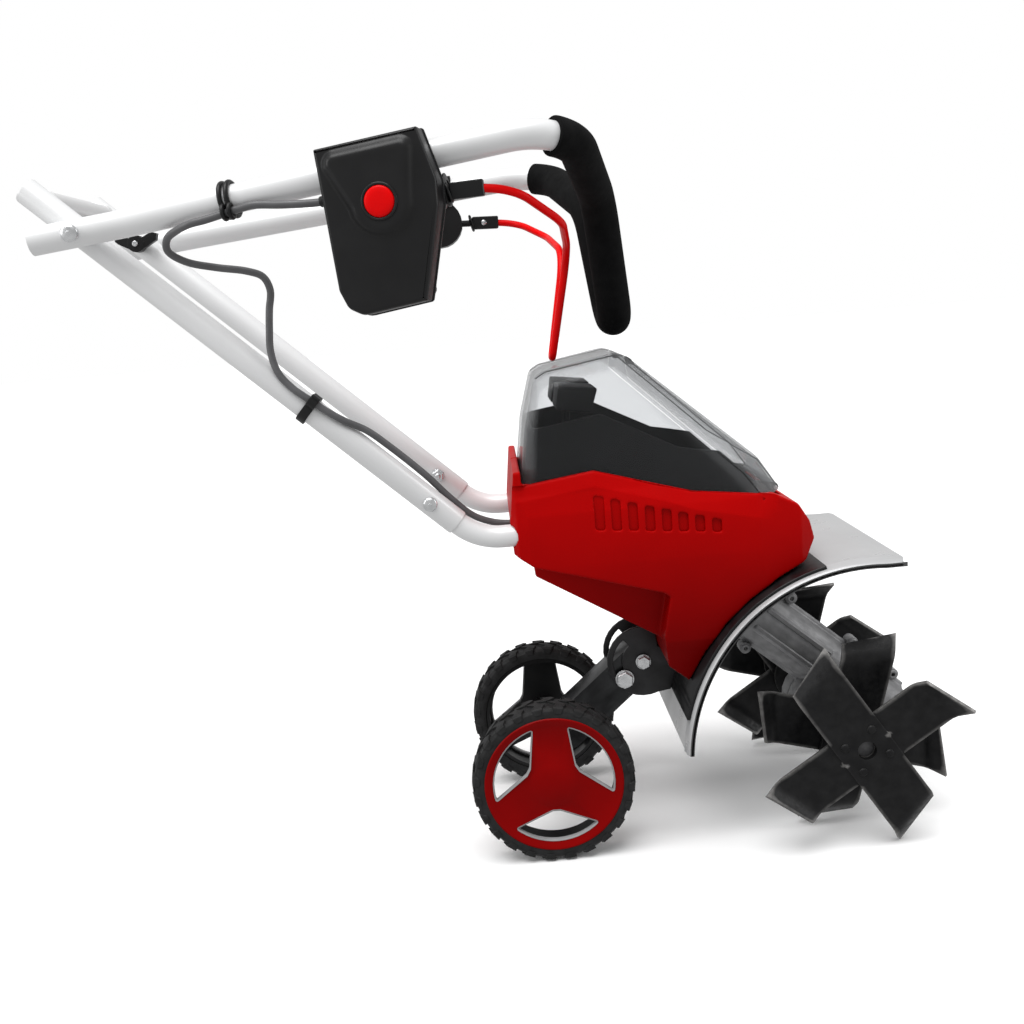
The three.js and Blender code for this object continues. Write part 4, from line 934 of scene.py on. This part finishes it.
def tines():
    x, z = TINE_AXLE
    stars = (
        ("right_outer", -1, 142, 57, 9.3), ("right_inner", -1, 90, -75, 14.4),
        ("left_inner", 1, 90, -33, 14.4), ("left_outer", 1, 142, -75, 9.3),
    )
    for name, side, middle, angle, hole in stars:
        centre = Matrix.Translation(at(x, side * middle, z))
        bm = bmesh.new()
        for turn, outward, lift in ((angle, -side, 1), (angle + 90, side, -1)):
            place = centre @ Matrix.Rotation(math.radians(turn), 4, "Y")
            blade(bm, place, outward, lift * side * (BLADE_THICK / 2 - 0.1))
        star = linked("star", bm, BLADE, 50)
        cutter = linked("cut", rod(bmesh.new(), (x, side * middle - 12, z),
                                   (x, side * middle + 12, z), hole, 40), BLADE)
        boolean(star, [cutter], sharp=50)
        placed(star, BLADE, "tines", ["tine_star_" + name], "star_" + name)
        bm = bmesh.new()
        for k in range(4):
            spin = math.radians(angle + 45 + 90 * k)
            spot = at(x + 22 * math.cos(spin), side * middle, z - 22 * math.sin(spin))
            for face in (-1, 1):
                screw_head(bm, spot + Vector((0, face * 3.4 * MM, 0)), (0, face, 0), 4.2, 2.2,
                           recess=False)
        piece("star_rivets_" + name, bm, BLADE, "tines")
    for name, side in SIDES:
        place = facing(at(x, 0, z), (0, side, 0))
        bm = lathe(bmesh.new(), [
            (9.3, 42), (13.4, 42), (14, 42.6), (14, 81), (32.4, 81), (33, 81.6), (33, 85.2),
            (32.4, 85.8), (14, 85.8), (14, 133.5), (32.4, 133.5), (33, 134.1), (33, 137.2),
            (32.4, 137.8), (9.3, 137.8),
        ], place, 56)
        piece("hub_sleeve_" + name, bm, BLADE, "tines", ["tine_hub_" + name])


# ---------------------------------------------------------------- gear case
CASE_R = 29.0


def gear_case():
    """Soft cast halves, with ribs and screw bosses standing on them."""
    for name, _ in SIDES:
        half = from_cad("case_" + name, ["gear_case_" + name], CAST)
        softened(half, 1.5, 4, 0.35)
        placed(half, CAST, "chassis", ["gear_case_" + name])
    for name, side in SIDES:
        bm = bmesh.new()
        for above in (13, -9):
            outline = rounded([(46, above - 2.6), (132, above - 2.6), (132, above + 2.6),
                               (46, above + 2.6)], 2.4, 20)
            reach = math.sqrt(CASE_R ** 2 - above ** 2)
            steps = ((-2.4, -2.5), (-0.8, -0.6), (0, 1.6), (0.9, 2.5))
            slab(bm, outline, [(move, side * (reach + rise)) for move, rise in steps],
                 lambda x, y, z: at(*worm_point(x, z, y)))
        for along, above in ((66, 36), (150, 36), (208, 34), (60, -36), (222, -20)):
            for start, end, radius in ((0.2, 7.5, 6.2), (7.0, 9.4, 4.6)):
                spot = at(*worm_point(along, above, side * start))
                profile = [(2.2, 0), (radius, 0), (radius, end - start - 0.6),
                           (radius - 0.6, end - start), (2.2, end - start)]
                lathe(bm, profile, facing(spot, (0, side, 0)), 28)
        piece("case_ribs_" + name, bm, CAST, "chassis")


# ---------------------------------------------------------------- fender
def clear_of_case(obj, finish):
    """A hole through the object where the gear case passes."""
    return boolean(obj, [linked("cut", rod(bmesh.new(), worm_point(-40), worm_point(60), 31, 64),
                                finish)], sharp=45)


def fender_radius(angle):
    """The fender's radius about its centre: it flattens towards the front."""
    return 200 - 7 * min(1.0, max(0.0, (132 - angle) / 42)) ** 1.5


def fender_profile():
    """Stations along the fender: a point of its middle line and the direction that is up."""
    middle = Vector((FENDER_CENTRE[0], 0, FENDER_CENTRE[1]))
    out = []
    for k in range(45):
        degrees = FENDER_FOOT - 2 * k
        angle = math.radians(degrees)
        up = Vector((math.cos(angle), 0, math.sin(angle)))
        out.append((middle + up * fender_radius(degrees), up))
    for x in (361, 365, 369, 371):
        out.append((Vector((x, 0, 283)), Vector((0, 0, 1))))
    return out


def fender_height(i, y, last):
    """How far the sheet stands above its middle line: ribs near its sides and front, and hems."""
    edge = abs(y)
    drop = max(0.0, edge - FENDER_TURN) ** 2 * 0.14
    rib = max(0.0, 1 - ((edge - FENDER_RIB) / 4.0) ** 2) if i < last - 3 else 0.0
    if last - 7 < i < last - 3 and edge < FENDER_RIB:
        rib = 1.0
    return 1.1 * rib - drop


def fender():
    """A bent sheet with turned-down sides, a raised rib near its edge and a soft front lip."""
    spans = [126, 125.6, 124.8, 123.4, 121, 116, 112.5, 110.5, 108, 104.5, 80, 50, 20]
    spans = [-v for v in spans] + spans[::-1]
    stations = fender_profile()
    last = len(stations) - 1
    bm = bmesh.new()
    loops = []
    for i, (spot, up) in enumerate(stations):
        top, under = [], []
        for y in spans:
            trim = 0.0
            if i >= last - 1:
                trim = max(0.0, abs(y) - 114) * (0.35 if i == last else 0.15)
            for row, thick in ((top, 0.0), (under, -2.0)):
                local = spot + up * (fender_height(i, y, last) + thick) + Vector((-trim, 0, 0))
                row.append(bm.verts.new(at(local.x, y, local.z)))
        loops.append(top + under[::-1])
    for a, b in zip(loops, loops[1:]):
        bridge(bm, a, b)
    for end in (loops[0], loops[-1]):
        for j in range(len(spans) - 1):
            bm.faces.new((end[j], end[j + 1], end[-2 - j], end[-1 - j]))

    # Strips under the sheet's side edges, in the darker copy of the fender paint: painted shade
    # under the panel.
    hem = bmesh.new()
    for side in (-1, 1):
        loops = []
        for spot, up in stations:
            foot, deep = spot - up * 2.4, spot - up * 6.4
            corners = ((foot, 0), (deep, 0), (deep, 1.8), (foot, 1.8))
            loops.append([at(p.x, side * (FENDER_HALF - w), p.z) for p, w in corners])
        loft(hem, loops)
    piece("fender_hem_painted_shade", hem, PAINTED_SHADE_HEM, "chassis")
    sheet = clear_of_case(linked("sheet", bm, FENDER, 45), FENDER)
    placed(sheet, FENDER, "chassis", ["fender"], "fender_panel")

    outline = []
    for above, angles in ((3.3, range(166, 105, -2)), (0.4, range(106, 167, 2))):
        for angle in angles:
            outline.append(Vector(polar(FENDER_CENTRE, fender_radius(angle) + above, angle)))
    bm = slab(bmesh.new(), outline, ((0.8, -120), (0, -119.2), (0, 119.2), (0.8, 120)))
    plate = clear_of_case(linked("plate", bm, BLACK, 45), BLACK)
    placed(plate, BLACK, "chassis", ["fender_carrier"], "fender_backing")


# ---------------------------------------------------------------- housing
TOP_EDGE = [(-5, 382), (10, 382), (79.7, 391), (173, 363.5), (253, 353.5), (276, 341), (300, 300)]
SHOULDER_LEAN = 4.6
OPENING_Y, OPENING_LEAN = 102.6, 0.0816  # the canopy's opening: half-width at z 352, and its lean


def along_edge(edge, x):
    for (x0, z0), (x1, z1) in zip(edge, edge[1:]):
        if x0 <= x <= x1:
            return z0 + (z1 - z0) * (x - x0) / (x1 - x0)
    return edge[-1][1]


def shape_housing(obj):
    """Leans the shoulders in under the top edge, in a band that widens towards the front."""
    for vert in obj.data.vertices:
        x, y, z = (vert.co / MM) - SHIFT
        out = abs(y)
        inner = OPENING_Y - OPENING_LEAN * (z - 352)
        if out < inner + 0.6:
            continue
        depth = 15 + max(0.0, x - 150) * 0.10
        below = along_edge(TOP_EDGE, x) - z
        if 0 <= below < depth:
            wall = min(1.0, (out - inner) / 4.0)
            out -= SHOULDER_LEAN * (1 - below / depth) * wall
        vert.co.y = (math.copysign(out, y) + SHIFT.y) * MM
    obj.data.update()


def housing():
    for name, side in SIDES:
        shell = from_cad("housing_" + name, ["housing_" + name], RED)
        softened(shell, 1.25, 5, 1.0)
        shape_housing(shell)
        applied(modified(shell, "DECIMATE", ratio=0.3), 60)
        placed(shell, RED, "chassis", ["housing_" + name], "body_shell_" + name)

        bm = bmesh.new()
        back = rounded([(70, 372), (208, 345), (204, 316), (70, 322)], 3, 20)
        slab(bm, back, ((0, side * 102.4), (0, side * 104.2)))
        piece("louvre_back_" + name, bm, RED, "chassis")
    bevelled("battery_tray", "tray_moulding", TRAY, "chassis", 1.2)


def bevelled(node, name, finish, body, width):
    """A CAD solid with its edges rounded."""
    obj = from_cad(name, [node], finish)
    modified(obj, "DECIMATE", decimate_type="DISSOLVE", angle_limit=math.radians(2))
    modified(obj, "BEVEL", width=width * MM, segments=3, limit_method="ANGLE",
             angle_limit=math.radians(32))
    return placed(applied(obj, 40.0), finish, body, [node], name)


# ---------------------------------------------------------------- canopy
CANOPY_MIDDLE, CANOPY_REACH = (140, 0, 335), (130, 101, 160)
CANOPY_WALL, SEAM, HINGE_PIN = 2.6, 0.9, (261, 354)


def canopy_solid(name, wall, foot):
    """The canopy's outer form, or the form inside its wall, with softened ridges."""
    crown = [(31.4, 481.6), (42, 487.5), (112, 499), (123, 494.5), (222, 401), (246, 385),
             (266, 353)]
    brow = [(34, 470), (48, 474), (108, 486), (119, 480.5), (214, 390), (237, 374), (256, 350)]
    rear = [(7.5, 352), (10.5, 382), (18, 433)]
    points = [(x, 66, z) for x, z in crown] + [(x, 88, z) for x, z in brow]
    points += [(x, 84 - (z - 352) * 0.06, z) for x, z in rear]
    points += [(19, 101, 352), (232, 101, 352), (29, 93, 450)]
    spots = [[m + (v - m) * (1 - wall / r)
              for v, m, r in zip(point, CANOPY_MIDDLE, CANOPY_REACH)] for point in points]
    spots += [(x, y, foot) for x, y, z in spots if z < 356]
    bm = bmesh.new()
    for x, y, z in spots:
        for half in (y, -y):
            bm.verts.new(at(x, half, z))
    bmesh.ops.convex_hull(bm, input=bm.verts)
    loose = [v for v in bm.verts if not v.link_faces]
    bmesh.ops.delete(bm, geom=loose, context="VERTS")
    return softened(linked(name, bm, CLEAR), 3.2, 4, 0.5)


def zone_cutter(seam):
    line = [(121, 560), (120.4, 476), (226, 374.6), (243, 350.5), (243, 310)]
    outline = [(x - seam, z - seam) for x, z in line] + [(310, 300), (310, 560)]
    return side_prism("zone", outline, -120, 120, CLEAR)


def canopy():
    shell = canopy_solid("shell", 0.0, 330)
    boolean(shell, [canopy_solid("inside", CANOPY_WALL, 300),
                    side_prism("low", [(-50, 352), (320, 352), (320, 280), (-50, 280)],
                               -120, 120, CLEAR)], solver="FAST")
    front = added("pane", shell.data.copy())
    boolean(shell, [zone_cutter(SEAM)], solver="FAST")
    placed(shell, CLEAR, "chassis", ["canopy"], "cover_rear")

    boolean(front, [zone_cutter(0.0)], "INTERSECT", solver="FAST")
    x, z = HINGE_PIN
    notches = []
    for side in (-1, 1):
        outline = [(x - 40, z - 14), (x + 20, z - 14), (x + 20, z + 9), (x - 40, z + 9)]
        notches.append(side_prism("notch", outline, side * 64 - 3.5, side * 64 + 3.5, CLEAR))
    boolean(front, notches, solver="FAST")
    placed(front, CLEAR, "window", ["canopy_window"], "cover_window")
    profile = [(2.5, -60.5), (4.2, -60.5), (4.2, 60.5), (2.5, 60.5)]
    bm = lathe(bmesh.new(), profile, facing(at(x, 0, z), (0, 1, 0)), 28)
    piece("cover_hinge_barrel", bm, CLEAR, "window")


def cover_trim():
    """Dark seals along the cover's upper ridges, and two catches at its top corners."""
    rear = [(33, 480.3), (42.5, 485.9), (111.5, 496.6), (119, 495)]
    front = [(121.5, 493.6), (124, 491.5), (221, 399), (245, 383), (263, 356)]
    for name, ridge, body in (("rear", rear, "chassis"), ("front", front, "window")):
        bm = bmesh.new()
        for side in (-1, 1):
            tube(bm, [at(x, side * 65.2, z) for x, z in ridge], 0.75, 10)
        piece("cover_seal_" + name, bm, SEAL, body)
    bm = bmesh.new()
    for side in (-1, 1):
        outline = rounded([(122.5, 487), (121.5, 495.5), (127, 491.5), (131, 485.5)], 1, 20)
        slab(bm, outline, ((0, side * 56), (0, side * 66.4)))
    piece("cover_catches", bm, SEAL, "window")


def dock_heads():
    """The slotted contact blocks that stand in the top of the cover, one over each dock."""
    for name, side in SIDES:
        y = side * 45
        bm = bmesh.new()
        outline = rounded([(50, 449), (84, 443), (92, 467), (54, 472)], 2, 20)
        slab(bm, outline, ((1.5, y - 30), (0.3, y - 29.5), (0, y - 28),
                           (0, y + 28), (0.3, y + 29.5), (1.5, y + 30)))
        rail = rounded([(62, 405), (74, 405), (76, 450), (64, 452)], 1.5, 20)
        for middle in (y - 18, y, y + 18):
            slab(bm, rail, ((0, middle - 1.5), (0, middle + 1.5)))
        piece("dock_head_" + name, bm, TRAY, "chassis")


# ---------------------------------------------------------------- CAD solids kept as they are
def kept_nodes():
    """Bevelled copies of the plainer solids, and materials for the ones inside."""
    for node, finish, body, width in (
        ("battery_dock_left", TRAY, "chassis", 1.5), ("battery_dock_right", TRAY, "chassis", 1.5),
        ("wheel_bracket", BLACK_STEEL, "chassis", 0.7), ("wheel_arm", ARM_STEEL, "arm", 1.0),
        ("bail_housing", BLACK, "upper_handle_frame", 2.0),
        ("wing_nut_left", BLACK, "wing_left", 1.0), ("wing_nut_right", BLACK, "wing_right", 1.0),
    ):
        fine = bevelled(node, node + "_fine", finish, body, width)
        if node.startswith("battery_dock"):
            boolean(fine, [side_prism("above", [(0, 424), (160, 424), (160, 520), (0, 520)],
                                      -120, 120, TRAY)])
    for node, finish in (
        ("control_board", BOARD), ("motor_can", STEEL), ("motor_rotor", COPPER),
        ("worm_shaft", STEEL), ("worm_wheel", COPPER), ("axle_seal_left", RUBBER),
        ("axle_seal_right", RUBBER), ("tine_axle", BLACK_STEEL), ("wheel_axle", STEEL),
        ("window_hinge_pin", STEEL), ("microswitch", BLACK),
    ):
        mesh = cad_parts[node].data
        mesh.materials.clear()
        mesh.materials.append(finish)


# ---------------------------------------------------------------- room, lights and camera
SKY_LIGHT, SUN_POWER, FLOOR_HALF = 0.55, 2.7, 14.0


def sun():
    data = bpy.data.lights.new("sun", "SUN")
    data.energy = SUN_POWER
    data.angle = math.radians(50)
    added("sun", data).rotation_euler = (math.radians(14), math.radians(-10), 0)


def room():
    """A pale floor that throws no light back, and a world that is white to the camera."""
    bm = bmesh.new()
    turns = ((-1, -1), (1, -1), (1, 1), (-1, 1))
    bm.faces.new([bm.verts.new((x * FLOOR_HALF, y * FLOOR_HALF, 0.0)) for x, y in turns])
    pale = surface("pale_floor", (0.97, 0.97, 0.97), (0.96, 0.96, 0.96), 900, 0.75, 0.05, 0.02, 40)
    floor = linked("floor", bm, pale)
    floor.visible_diffuse = floor.visible_glossy = False

    world = bpy.data.worlds.new("studio")
    bpy.context.scene.world = world
    world.use_nodes = True
    grow = grower(world.node_tree)
    level = grow("MapRange", "Result", {"Value": grow("LightPath", "Is Camera Ray"),
                                        "To Min": SKY_LIGHT, "To Max": 1.0})
    fill(world.node_tree.nodes["Background"],
         {"Color": (1.0, 1.0, 1.0, 1.0), "Strength": level})
    bpy.context.scene.view_settings.view_transform = "Standard"


def lamp(name, place, target, size, power):
    data = bpy.data.lights.new(name, "AREA")
    data.shape = "RECTANGLE"
    data.size, data.size_y = size
    data.energy = power
    obj = added(name, data)
    obj.location = place
    obj.rotation_mode = "QUATERNION"
    obj.rotation_quaternion = (Vector(target) - Vector(place)).to_track_quat("-Z", "Y")


def camera():
    data = bpy.data.cameras.new("view")
    data.lens, data.sensor_width = 40.43, 36.0
    obj = added("view", data)
    obj.location = (-0.00809, -1.17898, 0.55937)
    obj.rotation_euler = [math.radians(a) for a in (79.4423, 4.8174, -1.3743)]
    bpy.context.scene.camera = obj


camera()
room()
sun()
lamp("left", (-1.7, -0.6, 1.2), (0.0, 0.0, 0.4), (0.5, 1.2), 7)
lamp("right", (1.7, -0.3, 1.0), (0.1, 0.0, 0.4), (0.4, 1.2), 6)
handles()
fasteners()
cables()
switch_box()
bail()
for wheel_name, wheel_side in SIDES:
    tyre(wheel_name, wheel_side)
    wheel(wheel_name, wheel_side)
tines()
gear_case()
fender()
housing()
canopy()
cover_trim()
dock_heads()
kept_nodes()
